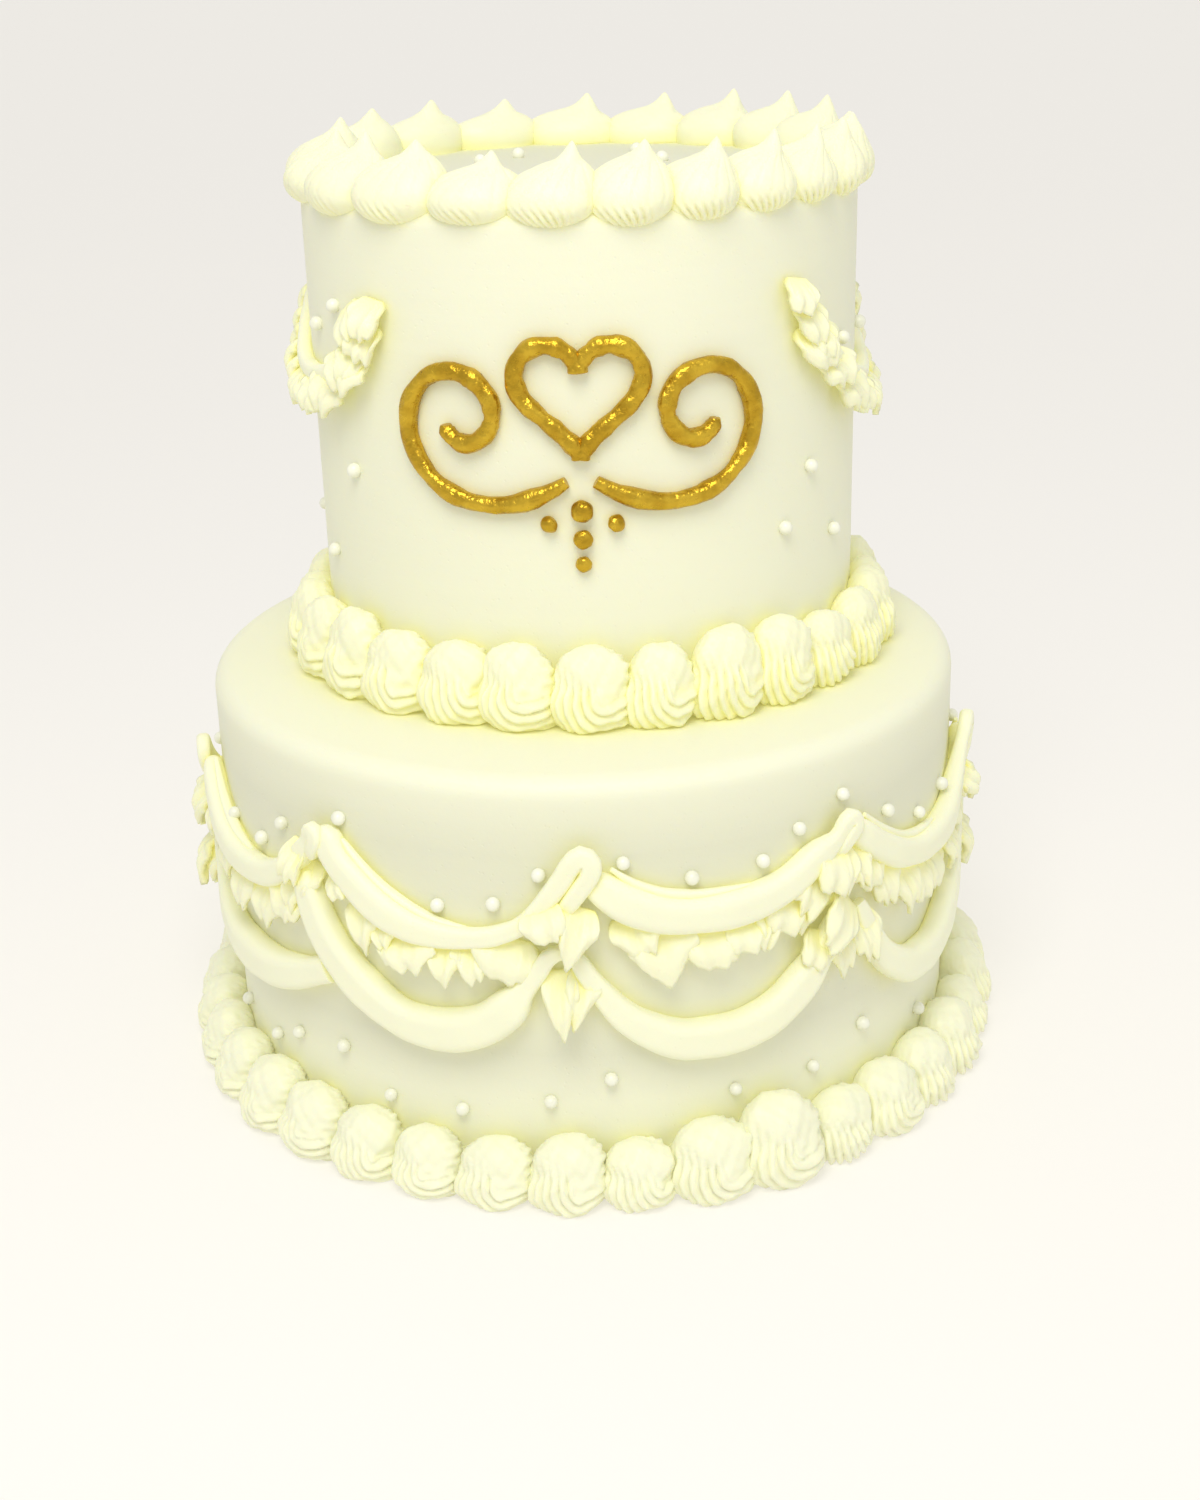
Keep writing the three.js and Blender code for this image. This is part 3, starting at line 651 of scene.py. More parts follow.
def lines_mesh(name, lines):
    """A mesh of open lines. Each line is a list of (point, outward direction, girth)."""
    stations, edges = [], []
    for line in lines:
        edges += [(len(stations) + i, len(stations) + i + 1) for i in range(len(line) - 1)]
        stations += line
    points, outward, girths = zip(*stations)
    mesh = mesh_of(name, points, edges=edges)
    add_numbers(mesh, "outward", outward)
    add_numbers(mesh, "girth", girths)
    return mesh


# Materials

SMOOTH_IVORY = (0.86, 0.862, 0.665)
PIPED_IVORY = (0.93, 0.935, 0.69)
SHELL_IVORY = (0.925, 0.925, 0.65)
# Painted shade: colours that the icing is mixed towards in crevices. They also colour a painted glow there.
CREASE_SHADE_YELLOW = (0.88, 0.85, 0.38)
CREASE_SHADE_WALL = (0.88, 0.86, 0.47)
CREASE_SHADE_PALE = (0.88, 0.875, 0.6)
# Painted shade and light on the smooth icing, as shares of its colour by height from low to high: darker
# bands on the lower tier's wall and on the upper tier's top, lighter near the floor
WALL_PAINTED_SHADE = [(0, 1.05), (26, 1.01), (40, 0.89), (52, 0.96), (70, 1.0), (84, 0.9), (96, 0.88), (109, 0.97),
             (114, 1.02), (125, 1.0), (243, 0.98), (247, 0.86)]
PAINTED_SHADE_SPAN = 0.3


def icing_group():
    """The look of buttercream: soft mottling, strokes and tiny air pits, with painted shade in crevices,
    where the colour is mixed towards a deeper yellow, and a painted glow under the same mask.
    """
    tree = Tree(bpy.data.node_groups.new("Buttercream look", "ShaderNodeTree"),
        {"Place": "vector", "Icing Colour": "colour", "Crease Colour": "colour", "Crease": 0.0,
        "Stroke Height": 0.3, "Pit Depth": 0.3, "Mottling": 0.1, "Sheen Roughness": 0.5},
        {"Colour": "colour", "Roughness": "number", "Height": "number", "Glow": "colour"})
    get = tree.start
    strokes = tree.noise(tree.vectors("MULTIPLY", get["Place"], (14, 14, 210)), 1.0, 3.0)
    mottle = tree.minus(tree.noise(get["Place"], 38.0, 3.0), 0.5)
    grain = tree.noise(get["Place"], 900.0)
    pits = tree.add("ShaderNodeTexVoronoi", Vector=get["Place"], Scale=420.0)
    pit = tree.add("ShaderNodeMapRange", From_Min=0.05, From_Max=0.16, Value=pits.outputs["Distance"])
    pitted = tree.times(tree.plus(pit.outputs["Result"], tree.times(grain, 0.6)), get["Pit Depth"])
    tree.join(tree.plus(tree.times(strokes, get["Stroke Height"]), pitted), tree.end["Height"])
    tree.join(tree.plus(get["Sheen Roughness"], tree.times(mottle, 0.16)), tree.end["Roughness"])
    shade = tree.plus(get["Crease"], tree.times(mottle, get["Mottling"]))
    # The mix towards the crevice colour is painted shade, and the glow under the same mask is painted
    # light. The mottling part of the mask is random tone.
    for label, unshaded in (("Colour", get["Icing Colour"]), ("Glow", (0, 0, 0, 1))):
        mix = tree.add("ShaderNodeMix", {"data_type": "RGBA", "clamp_factor": True}, Factor=shade,
            A=unshaded, B=get["Crease Colour"])
        tree.join(mix.outputs["Result"], tree.end[label])
    return tree.tree


def new_material(name):
    """A material with its node tree and its shader."""
    material = bpy.data.materials.new(name)
    material.use_nodes = True
    tree = Tree(material.node_tree)
    return material, tree, tree.tree.nodes["Principled BSDF"]


def object_place(tree):
    return tree.add("ShaderNodeTexCoord").outputs["Object"]


def icing_material(name, colour, crease_shade_colour, stroke=0.0, pit=0.35, mottling=0.12, roughness=0.46,
        painted_glow=0.16, height_shade=()):
    """Buttercream. A height shade is a list of (height, share of the colour): painted shade and light by
    height.
    """
    material, tree, shader = new_material(name)
    place = object_place(tree)
    icing_colour_and_shade = (*colour, 1)
    # Painted shade and light by height: the colour is scaled along a ramp over the height.
    if height_shade:
        level = tree.over(tree.add("ShaderNodeSeparateXYZ", Vector=place).outputs["Z"], PAINTED_SHADE_SPAN)
        icing_colour_and_shade = tree.ramp(level,
            [(height * MM / PAINTED_SHADE_SPAN, [share * part for part in colour]) for height, share in height_shade])
    crease = tree.add("ShaderNodeAttribute", {"attribute_name": "crease"}).outputs["Fac"]
    look = tree.add("ShaderNodeGroup", {"node_tree": buttercream}, Place=place, Icing_Colour=icing_colour_and_shade,
        Crease_Colour=(*crease_shade_colour, 1), Crease=crease, Stroke_Height=stroke, Pit_Depth=pit,
        Mottling=mottling, Sheen_Roughness=roughness).outputs
    # The emission is a painted glow in the crevices, not a lamp.
    tree.fill(shader, Base_Color=look["Colour"], Roughness=look["Roughness"], Emission_Color=look["Glow"],
        Normal=tree.bump(0.35, 0.0006, look["Height"]), Emission_Strength=painted_glow, Subsurface_Weight=0.2,
        Subsurface_Radius=(1.0, 0.8, 0.35), Subsurface_Scale=0.0009, Specular_IOR_Level=0.35)
    return material


def gold_material():
    """Gold paint brushed over lumpy piping. Its colour follows the same noise as its bumps: lighter on the
    raised crests and brown in the dips, partly patchy paint and partly painted highlight and shade.
    """
    material, tree, shader = new_material("gold_paint")
    place = object_place(tree)
    paint_patches_and_shade = tree.noise(place, 170.0)
    brush = tree.noise(place, 620.0)
    # Patchy paint, and painted highlight on the crests and painted shade in the dips, from the same noise
    # as the bumps.
    colour = tree.ramp(paint_patches_and_shade, [(0.38, (0.5, 0.3, 0.018)), (0.63, (0.66, 0.43, 0.035))])
    tree.fill(shader, Base_Color=colour, Roughness=tree.plus(0.16, tree.times(brush, 0.3)), Metallic=0.86,
        Normal=tree.bump(0.7, 0.0007, tree.plus(brush, tree.times(paint_patches_and_shade, 1.6))))
    return material


def pearl_material():
    material, tree, shader = new_material("sugar_pearl")
    place = object_place(tree)
    cloud = tree.noise(place, 260.0)
    tree.fill(shader, Base_Color=tree.ramp(cloud, [(0.3, (0.84, 0.84, 0.69)), (0.7, (0.92, 0.92, 0.79))]),
        Roughness=tree.plus(0.24, tree.times(cloud, 0.2)), Coat_Weight=0.35, Coat_Roughness=0.15,
        Normal=tree.bump(0.15, 0.0002, tree.noise(place, 1500.0)))
    return material


buttercream = icing_group()
tier_icing = icing_material("tier_icing", SMOOTH_IVORY, CREASE_SHADE_WALL, 0.5, 0.25, 0.16, 0.5, 0.08, WALL_PAINTED_SHADE)
shell_icing = icing_material("shell_icing", SHELL_IVORY, CREASE_SHADE_YELLOW)
base_icing = icing_material("base_shell_icing", PIPED_IVORY, CREASE_SHADE_PALE, painted_glow=0.07)
rope_icing = icing_material("rope_icing", PIPED_IVORY, CREASE_SHADE_YELLOW, 0.1, 0.3)
gold_paint = gold_material()
sugar_pearl = pearl_material()

ROPE_FINISH = {"Corner": 0.38, "Unevenness": 0.0004, "Lump Scale": 95.0, "Sides": 34, "Icing": rope_icing}
GOLD_FINISH = {"Corner": 0.48, "Unevenness": 0.00055, "Lump Scale": 210.0, "Sides": 20, "Icing": gold_paint}

placed = placing_tree()
piped = rope_tree()
dressed = []


def dress(name, nodes, tree, source, values):
    """A finished piece rides with the cake and stands for the CAD nodes, which are hidden."""
    piece = grow(name, tree, source, values)
    dressed.append(piece)
    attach(piece, "root")
    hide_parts(*nodes)


def dress_places(name, nodes, places, shapes, icing, size=1.0, spread=0.0, lean=0.0):
    dress(name, nodes, placed, points_mesh(name + "_points", places), {
        "Shapes": shapes, "Size": size, "Size Spread": spread, "Tip Lean": lean, "Seed": 5, "Icing": icing})


def dress_lines(name, nodes, lines, width, depth, finish=ROPE_FINISH):
    dress(name, nodes, piped, lines_mesh(name + "_lines", lines), {
        "Width": width * MM, "Depth": depth * MM, **finish})


# Tiers and pearls

smoothed = tier_tree()
for node, radius, bottom, top, (sideways, backwards) in (
        ("lower_tier", LOWER_RADIUS, 0, LOWER_HEIGHT, (0, 0)),
        ("upper_tier", UPPER_RADIUS, LOWER_HEIGHT + GAP, UPPER_TOP, UPPER_SHIFT)):
    dress(node + "_icing", [node], smoothed, mesh_of("seed_point", [(0, 0, 0)]),
        {"Radius": (radius - TIER_INSET) * MM, "Bottom": bottom * MM, "Top": top * MM,
        "Sideways": sideways * MM, "Backwards": backwards * MM, "Rim Rounding": RIM_ROUNDING * MM,
        "Unevenness": 0.0002, "Icing": tier_icing})


def swag_line(start, end, top, sag, lean):
    """Where a swag hangs between two meeting points. A lean over 1 moves its lowest point to the right."""
    def place(t):
        share = max(0.0, t) ** lean
        return start + (end - start) * t, top - sag * (1 - abs(2 * share - 1) ** SWAG_ROUNDNESS)
    return place


def span_between(points, index):
    return points[index], points[index + 1] if index + 1 < len(points) else points[0] + 360


def is_last(index):
    return index + 1 == len(MEETING_POINTS)


def upper_swag(index):
    start, end = span_between(MEETING_POINTS, index)
    return swag_line(start, end, SWAG_TOP, UPPER_SAG[index], UPPER_LEAN[index])


def lower_swag(index):
    """The last lower rope ends lower down, against the side of the first one."""
    start, end = span_between(LOWER_MEETING_POINTS, index)
    if not is_last(index):
        return swag_line(start, end, LOWER_ROPE_TOP, LOWER_SAG[index], LOWER_LEAN[index])
    line = swag_line(start, beside(end, LAST_ROPE["reach"]), LOWER_ROPE_TOP, LOWER_SAG[index],
        LOWER_LEAN[index])

    def place(t):
        azimuth, height = line(t)
        return azimuth, height - LAST_ROPE["drop"] * max(0.0, t) ** 4
    return place


def girth_of_swag(index, t):
    first, second = UPPER_GIRTHS[index]
    return first + (second - first) * float(smoothstep(0.32, 0.6, t))


def lower_pearls():
    places = list(LOWER_PEARLS)
    for index in BACK_SWAGS:
        line = upper_swag(index)
        for number, share in enumerate(PEARLS_ABOVE_SWAG):
            seed = 600 + index * 10 + number
            azimuth, height = line(share + 0.03 * uneven(seed))
            places.append((azimuth, height + (PEARL_RISE + 0.8 * (1 + uneven(seed + 200)))))
        start, end = span_between(MEETING_POINTS, index)
        for number in range(PEARL_BAND["per_swag"]):
            seed = 900 + index * 10 + number
            share = (number + 0.5 + 0.32 * uneven(seed)) / PEARL_BAND["per_swag"]
            height = between(PEARL_BAND["low"], PEARL_BAND["high"], seed + 50)
            places.append((start + (end - start) * share, height))
    rise = LOWER_RADIUS + PEARL_RADIUS - PEARL_SINK
    return [wall_point(rise, azimuth, height) for azimuth, height in places]


def upper_pearls():
    places = list(UPPER_PEARLS)
    for number in range(BACK_PEARLS["count"]):
        share = (number + 0.5 + 0.3 * uneven(700 + number)) / BACK_PEARLS["count"]
        azimuth = BACK_PEARLS["first"] + (BACK_PEARLS["last"] - BACK_PEARLS["first"]) * share
        places.append((azimuth, between(BACK_PEARLS["low"], BACK_PEARLS["high"], 740 + number)))
    rise = UPPER_RADIUS + PEARL_RADIUS - PEARL_SINK
    points = [wall_point(rise, azimuth, height, UPPER_SHIFT) for azimuth, height in places]
    for number in range(TOP_PEARLS["count"]):
        azimuth = number * 360 / TOP_PEARLS["count"] + 14 * uneven(780 + number)
        radius = TOP_PEARLS["radius"] * (0.72 + 0.28 * uneven(790 + number))
        points.append(wall_point(radius, azimuth, UPPER_TOP + PEARL_RADIUS - PEARL_SINK, UPPER_SHIFT))
    return points


pearl_shapes = shape_collection("pearl", small_ball, [(10, 18, PEARL_RADIUS, 0)])
for name, points, node in (("lower_pearls", lower_pearls(), "lower_tier"),
        ("upper_pearls", upper_pearls(), "upper_tier")):
    places = [(point, (0, 0, 0), (1, 1, 1), 0) for point in points]
    dress_places(name, [node], places, pearl_shapes, sugar_pearl, PEARL_SIZE, PEARL_SIZE_SPREAD)


# Shell borders

# For each kind of corner shell: the swirl's place, the spacing and depth of its grooves, and its tilt
corner_shapes = shape_collection("corner_shell", corner_shell, [
    ((3.0, 8.4), 2.3, 1.9, 0.0), ((4.2, 7.6), 2.5, 2.1, 0.12), ((1.6, 9.0), 2.2, 1.8, -0.1),
    ((4.8, 9.0), 2.4, 2.0, 0.1), ((6.6, 7.4), 2.3, 1.9, 0.2), ((8.5, 9.5), 2.4, 1.8, 0.05)])
# For each kind of rim shell: the height of its tip, its share in the lean, and the spacing of its grooves
rim_shapes = shape_collection("rim_shell", rim_shell, [
    (3.4, 0.9, 2.5), (4.2, 1.0, 2.7), (4.7, 1.12, 2.4), (3.8, 1.05, 2.6)])


def corner_shell_places(wall_radius, floor, shells, shift=(0, 0)):
    places = []
    pitch = radians(360 / shells["count"]) * (wall_radius + 0.55 * shells["depth"])
    for index in range(shells["count"]):
        azimuth = shells["first"] + index * 360 / shells["count"]
        size = 1 + SHELL_UNEVENNESS * uneven(shells["seed"] * 100 + index)
        if shells is BASE_SHELLS:
            away = (azimuth - LARGE_BASE_SHELLS["azimuth"]) / LARGE_BASE_SHELLS["spread"]
            size += LARGE_BASE_SHELLS["extra"] * exp(-away * away)
        else:
            aside = abs((azimuth + 180) % 360 - 180) - SMALL_MIDDLE_SHELLS["side"]
            size -= SMALL_MIDDLE_SHELLS["less"] * exp(-(aside / SMALL_MIDDLE_SHELLS["spread"]) ** 2)
        seed = shells["seed"] * 1000 + index
        width = (1.05 + 0.05 * uneven(seed + 90)) * pitch / CORNER_FULL_WIDTH * sqrt(size)
        depth = shells["depth"] / CORNER_FULL_DEPTH * sqrt(size)
        height = (1 + 0.035 * uneven(seed + 120)) * shells["height"] / CORNER_HEIGHT * size
        places.append((wall_point(wall_radius + GAP, azimuth + 0.3 * uneven(seed + 60), floor, shift),
            (0, 0, radians(azimuth + 5 * uneven(seed + 30))), (width, depth, height), kind_of(6, seed)))
    return places


def rim_shell_places():
    places = []
    step = 360 / TOP_SHELLS["count"]
    swing = TOP_SHELL_DRIFT["swing"]
    for index in range(TOP_SHELLS["count"]):
        even = index * 360 / TOP_SHELLS["count"]
        phase = radians(even - TOP_SHELL_DRIFT["phase"])
        azimuth = even + TOP_SHELL_DRIFT["mean"] - swing * cos(phase)
        size = 1 + SHELL_UNEVENNESS * uneven(300 + index)
        pitch = step * (1 + radians(swing) * sin(phase))
        width = 1.04 * radians(pitch) * TOP_SHELLS["ring_radius"] / RIM_FULL_WIDTH
        places.append((wall_point(TOP_SHELLS["ring_radius"], azimuth, UPPER_TOP, UPPER_SHIFT),
            (0, 0, radians(azimuth + 8 * uneven(1300 + index))), (width, sqrt(size), size),
            kind_of(4, 1340 + index)))
    return places


base_places = corner_shell_places(LOWER_RADIUS, 0, BASE_SHELLS)
middle_places = corner_shell_places(UPPER_RADIUS, LOWER_HEIGHT + GAP, MIDDLE_SHELLS, UPPER_SHIFT)
for name, places, icing, node in (
        ("base_shells_right", base_places[:19], base_icing, "base_border"),
        ("base_shells_left", base_places[19:], base_icing, "base_border"),
        ("middle_shells_right", middle_places[:14], shell_icing, "middle_border"),
        ("middle_shells_left", middle_places[14:], shell_icing, "middle_border")):
    dress_places(name, [node], places, corner_shapes, icing)
dress_places("top_shells", ["top_border"], rim_shell_places(), rim_shapes, shell_icing,
    lean=TOP_SHELLS["tip_lean"] * MM)


# Swags

def smooth_path(stations):
    """Points close together on a smooth line through stations of (azimuth, height, out, girth)."""
    stations = np.array(stations, dtype=float)
    padded = np.concatenate([[2 * stations[0] - stations[1]], stations, [2 * stations[-1] - stations[-2]]])
    path = []
    for before, here, after, beyond in zip(padded, padded[1:], padded[2:], padded[3:]):
        span = hypot(radians(after[0] - here[0]) * LOWER_RADIUS, after[1] - here[1])
        count = max(2, round(span / ROPE_STEP))
        for t in np.arange(count) / count:
            path.append(0.5 * (2 * here + (after - before) * t
                               + (2 * before - 5 * here + 4 * after - beyond) * t ** 2
                               + (3 * here - before - 3 * after + beyond) * t ** 3))
    path.append(stations[-1])
    return path


def wall_line(radius, stations, shift=(0, 0)):
    return [(wall_point(radius + out, azimuth, height, shift), wall_point(1, azimuth, 0), max(0.05, girth))
            for azimuth, height, out, girth in smooth_path(stations)]


# Stations of a rope are its shares of the way along the swag, with their girths.
SWAG_ROPE_STATIONS = [
    (0.045, 0.32), (0.06, 0.7), (0.1, 0.9), (0.19, 1.0), (0.31, 1.04), (0.44, 1.02), (0.57, 1.0),
    (0.7, 0.96), (0.82, 0.88), (0.93, 0.8),
]
LOWER_ROPE_STATIONS = [
    (0.035, 0.3), (0.05, 0.46), (0.1, 0.56), (0.2, 0.78), (0.34, 0.96), (0.46, 1.0), (0.58, 1.0),
    (0.7, 0.97), (0.8, 0.88), (0.87, 0.74), (0.92, 0.6), (0.945, 0.5), (0.965, 0.3),
]
UPPER_ROPE_STATIONS = [
    (0.06, 0.3), (0.08, 0.7), (0.12, 0.9), (0.22, 1), (0.35, 1.03), (0.5, 1), (0.65, 1.02), (0.78, 1),
    (0.88, 0.9), (0.92, 0.7), (0.94, 0.3),
]
# A hairpin bend: millimetres along and up from the meeting point, how proud of the rope, and girth
HAIRPIN = [
    (-4.8, -8.0, 0.9, 0.6), (-1.8, -2.8, 1.6, 0.6), (0.9, -0.1, 2.0, 0.64), (3.1, -1.9, 2.2, 0.62),
    (2.7, -5.2, 2.2, 0.58), (0.1, -9.4, 1.8, 0.54), (-2.8, -13.8, 1.2, 0.46), (-5.2, -17.0, 0.5, 0.2),
]
# Both ends of the first lower rope: azimuth, height, out and girth. It thins out in an arch on the right.
FIRST_LOWER_ROPE_START = [
    (-43.1, 83, 3, 0.3), (-42.9, 80.5, 3, 0.7), (-42.0, 75, 3, 0.82), (-40.3, 68, 3, 0.9),
    (-37.4, 60.8, 3, 0.95), (-33.4, 54.2, 3, 1.0),
]
FIRST_LOWER_ROPE_END = [
    (-9.4, 60.6, 3, 0.6), (-7.3, 66, 3.2, 0.46), (-5.9, 70, 3.6, 0.42), (-4.2, 71.9, 3.8, 0.4),
    (-2.7, 70.8, 3.4, 0.34), (-2.0, 69, 2.6, 0.2),
]


def swag_rope_line(index):
    """A swag's rope. Its end rises at the meeting point, doubles back on itself and leans to the right."""
    end = span_between(MEETING_POINTS, index)[1]
    line = upper_swag(index)
    out = SWAG_ROPE["depth"] * 0.5 - ROPE_SINK
    size = HAIRPINS[index]
    stations = []
    for number, (share, girth) in enumerate(SWAG_ROPE_STATIONS):
        share = share * (1 - 0.155 * size) / 0.96
        lump = 1 + 0.05 * uneven(10 * index + 3 * number)
        girth = max(0.52, girth * girth_of_swag(index, share) * lump) if number else 0.3
        stations.append((*line(share), out, girth))
    if index == 0:
        stations[:2] = [(MEETING_POINTS[0] + 1.4, SWAG_TOP + 1.8, out, 0.3),
            (MEETING_POINTS[0] + 1.8, SWAG_TOP - 0.4, out, 0.78)]
    raised = 2.6 if index == 0 else 0.6
    for along, up, proud, girth in HAIRPIN:
        height = SWAG_TOP + raised + up * size
        stations.append((beside(end, along * size), height, out + proud, girth * (0.6 + 0.4 * size)))
    return stations


def lower_rope_line(index):
    """A lower rope, thin where it starts and ends under the petals."""
    line = lower_swag(index)
    out = LOWER_ROPE["depth"] * 0.5 - ROPE_SINK
    last = is_last(index)
    stations = []
    for number, (share, girth) in enumerate(LOWER_ROPE_STATIONS):
        girth = max(girth, 0.7) if last and number > 6 else girth * LOWER_GIRTHS[index]
        lump = 1 + 0.05 * uneven(200 + 10 * index + number)
        stations.append((*line(share * (0.95 if last else 1)), out, girth * lump))
    if index == 0:
        return FIRST_LOWER_ROPE_START + stations[4:9] + FIRST_LOWER_ROPE_END
    return stations


def thin_rope_line(index):
    """The thin second rope that lies along the upper edge of a swag's thick one."""
    line = upper_swag(index)
    stations = []
    for number, share in enumerate(np.linspace(0.09, 0.56 + 0.08 * uneven(40 + index), 8)):
        azimuth, height = line(share)
        fade = sin(pi * (number + 0.4) / 7.8) ** 0.5
        above = THIN_ROPE["above"] * girth_of_swag(index, share) - number / 7
        stations.append((azimuth + 1.0 * (1 - 2 * share), height + above, THIN_ROPE["out"], fade))
    return stations


swag_count = len(MEETING_POINTS)
for name, rope_line, rope, extra, node in (
        ("swag_ropes", swag_rope_line, SWAG_ROPE, ROPE_EXTRA_DEPTH, "swag_rope"),
        ("thin_swag_ropes", thin_rope_line, THIN_ROPE, 0, "swag_rope"),
        ("lower_ropes", lower_rope_line, LOWER_ROPE, ROPE_EXTRA_DEPTH, "lower_rope")):
    lines = [wall_line(LOWER_RADIUS, rope_line(index)) for index in range(swag_count)]
    dress_lines(name, numbered(node, swag_count), lines, rope["width"], rope["depth"] + extra)

# Each kind of petal: width, length, belly, skew and outline
PETALS = [
    (12.0, 13.0, 5.8, 0.04,
     [(-1, 0.36), (-0.6, 0.66), (0.05, 1.08), (0.5, 0.66), (1, 0.34)]),
    (17.0, 12.5, 5.8, 0.08,
     [(-1, 0.5), (-0.8, 0.78), (-0.6, 0.72), (-0.2, 1.0), (0.0, 0.82), (0.3, 1.06), (0.6, 0.7), (1, 0.5)]),
    (18.0, 12.0, 5.6, 0.02,
     [(-1, 0.5), (-0.62, 0.82), (-0.2, 0.98), (0.12, 0.97), (0.34, 1.06), (0.52, 0.86), (0.76, 0.92),
      (1, 0.5)]),
    (15.5, 12.5, 6.0, 0.1,
     [(-1, 0.4), (-0.5, 0.7), (0.1, 1.12), (0.34, 0.8), (0.58, 0.92), (0.8, 0.56), (1, 0.44)]),
    (14.5, 12.5, 5.6, -0.02,
     [(-1, 0.6), (-0.8, 0.86), (-0.2, 0.86), (0.3, 0.94), (0.5, 0.74), (0.74, 1.0), (1, 0.55)]),
]
petal_shapes = shape_collection("petal", petal, PETALS)

# Petals of the three front ruffles: azimuth, length and width in millimetres, kind, and lean in degrees
FRONT_RUFFLES = [
    [(-37.4, 8.5, 9.5, 4, -30), (-33.0, 13.5, 10.5, 0, -8), (-30.0, 8, 8, 1, -10),
     (-26.4, 10.2, 17.5, 1, -10), (-20.3, 10.8, 10, 0, 0), (-16.7, 9.6, 10.5, 3, 4),
     (-11.2, 10.8, 17.5, 2, 12)],
    [(4.8, 10.6, 12.5, 3, -14), (8.7, 15.5, 18.5, 0, -4), (15.7, 11.2, 16, 2, 0), (21.1, 9.8, 12.5, 4, 4),
     (24.8, 10.4, 9, 0, 8), (28.4, 11.5, 14.5, 4, 14), (33.2, 14, 15, 1, 34)],
    [(41.6, 11, 9.5, 4, -16), (45.4, 13, 11.5, 1, -10), (50.4, 14.2, 12, 3, -6), (55.6, 13, 11.5, 4, -3),
     (60.8, 12.4, 13.5, 2, 2), (66.6, 12, 12.5, 3, 6), (72.2, 10, 11.5, 4, 16)],
]
# Petals at the three front meeting points: azimuth, height, out, length, width, thickness, kind and lean
FRONT_ROSETTES = [
    [(-43.4, 91, 2.2, 12, 8, 1.0, 4, 10), (-45.6, 80, 0.6, 11, 8, 0.9, 0, 4)],
    [(-7.0, 84.5, 2.4, 9, 12, 0.95, 2, -24), (-1.2, 84, 2.6, 15, 10.5, 0.95, 0, 16),
     (-4.6, 65.5, 0.8, 17.5, 9.5, 0.9, 0, -3), (-1.0, 66, 0.6, 15.5, 9, 0.85, 0, 12)],
    [(35.6, 89.5, 2.2, 13.5, 13, 1.0, 4, 14), (38.6, 87, 1.0, 11.5, 8, 0.9, 1, -6),
     (37.6, 73, 3.2, 15, 13.5, 0.9, 2, 50), (33.0, 66, 1.6, 10.5, 11, 0.85, 4, 22),
     (36.0, 65, 0.8, 13.5, 11, 0.8, 3, 0), (40.6, 67, 0.8, 14.5, 11, 0.85, 1, -4)],
]


def petal_place(point, azimuth, length, width, thickness, kind, lean, seed):
    full_width, full_length = PETALS[kind][:2]
    return (point,
            (radians(5 * uneven(seed)), radians(lean + 4 * uneven(seed + 1)), radians(azimuth)),
            (width / full_width, thickness * (1 + 0.08 * uneven(seed + 2)), length / full_length), kind)


def loose_petals(start, end, seed, length):
    """Petals side by side between two azimuths, wide and narrow ones mixed."""
    petals = []
    share, number = 0.04, 0
    while share < 0.93:
        chance = 0.5 + 0.5 * uneven(seed + number)
        width = 7.5 + 8 * chance
        part = width / (radians(end - start) * LOWER_RADIUS)
        kind = (0, 3, 4, 2, 1)[min(4, int(5 * chance))]
        grown = length * (1 + 0.14 * uneven(seed + number + 40))
        petals.append((start + (end - start) * (share + part / 2), grown, 1.12 * width, kind,
            26 * (share - 0.46)))
        share += 0.93 * part
        number += 1
    return petals


def ruffle_places(radius, line, petals, drop, thickness, seed, shift=(0, 0)):
    """Petals that hang from the lower edge of a rope. The drop function is half the rope's thickness."""
    start, end = line(0)[0], line(1)[0]
    places = []
    for number, (azimuth, length, width, kind, lean) in enumerate(petals):
        share = (azimuth - start) / (end - start)
        height = line(share)[1]
        before, after = line(share - 0.01), line(share + 0.01)
        slope = (after[1] - before[1]) / (radians(after[0] - before[0]) * radius)
        point = wall_point(radius, azimuth, height - drop(share) * hypot(1, slope), shift)
        places.append(petal_place(point, azimuth, length, width, thickness, kind, lean, seed + 5 * number))
    return places


ruffles = []
for index in range(swag_count):
    if index < len(FRONT_RUFFLES):
        petals = FRONT_RUFFLES[index]
    else:
        petals = loose_petals(*span_between(MEETING_POINTS, index), 2000 + 100 * index, RUFFLE["length"])
    ruffles += ruffle_places(LOWER_RADIUS, upper_swag(index), petals,
        lambda t: RUFFLE["below"] * girth_of_swag(index, t), RUFFLE["thickness"], 2500 + 100 * index)
dress_places("swag_ruffles", numbered("swag_ruffle", swag_count), ruffles, petal_shapes, shell_icing)


def loose_rosette(upper, lower, seed):
    """The petals where swags meet: a pair over the ropes' ends, and long ones that hang under them."""
    return [(beside(upper, -6.6), 84, 2.2, 9 + 2 * uneven(seed), 11, 1.0, 2, -20),
            (beside(upper, 1.8), 85, 2.4, 13 + 2 * uneven(seed + 1), 10.5, 1.05, 3, 20),
            (beside(lower, -1.2), 68, 1.2, 15 + 3 * uneven(seed + 2), 10, 1.1, 0, -5),
            (beside(lower, 4.6), 66.5, 0.6, 13 + 2 * uneven(seed + 3), 9, 0.9, (0, 3)[seed % 2], 14),
            (beside(lower, -6.0), 68, 0.8, 8, 8, 0.8, 4, -26)]


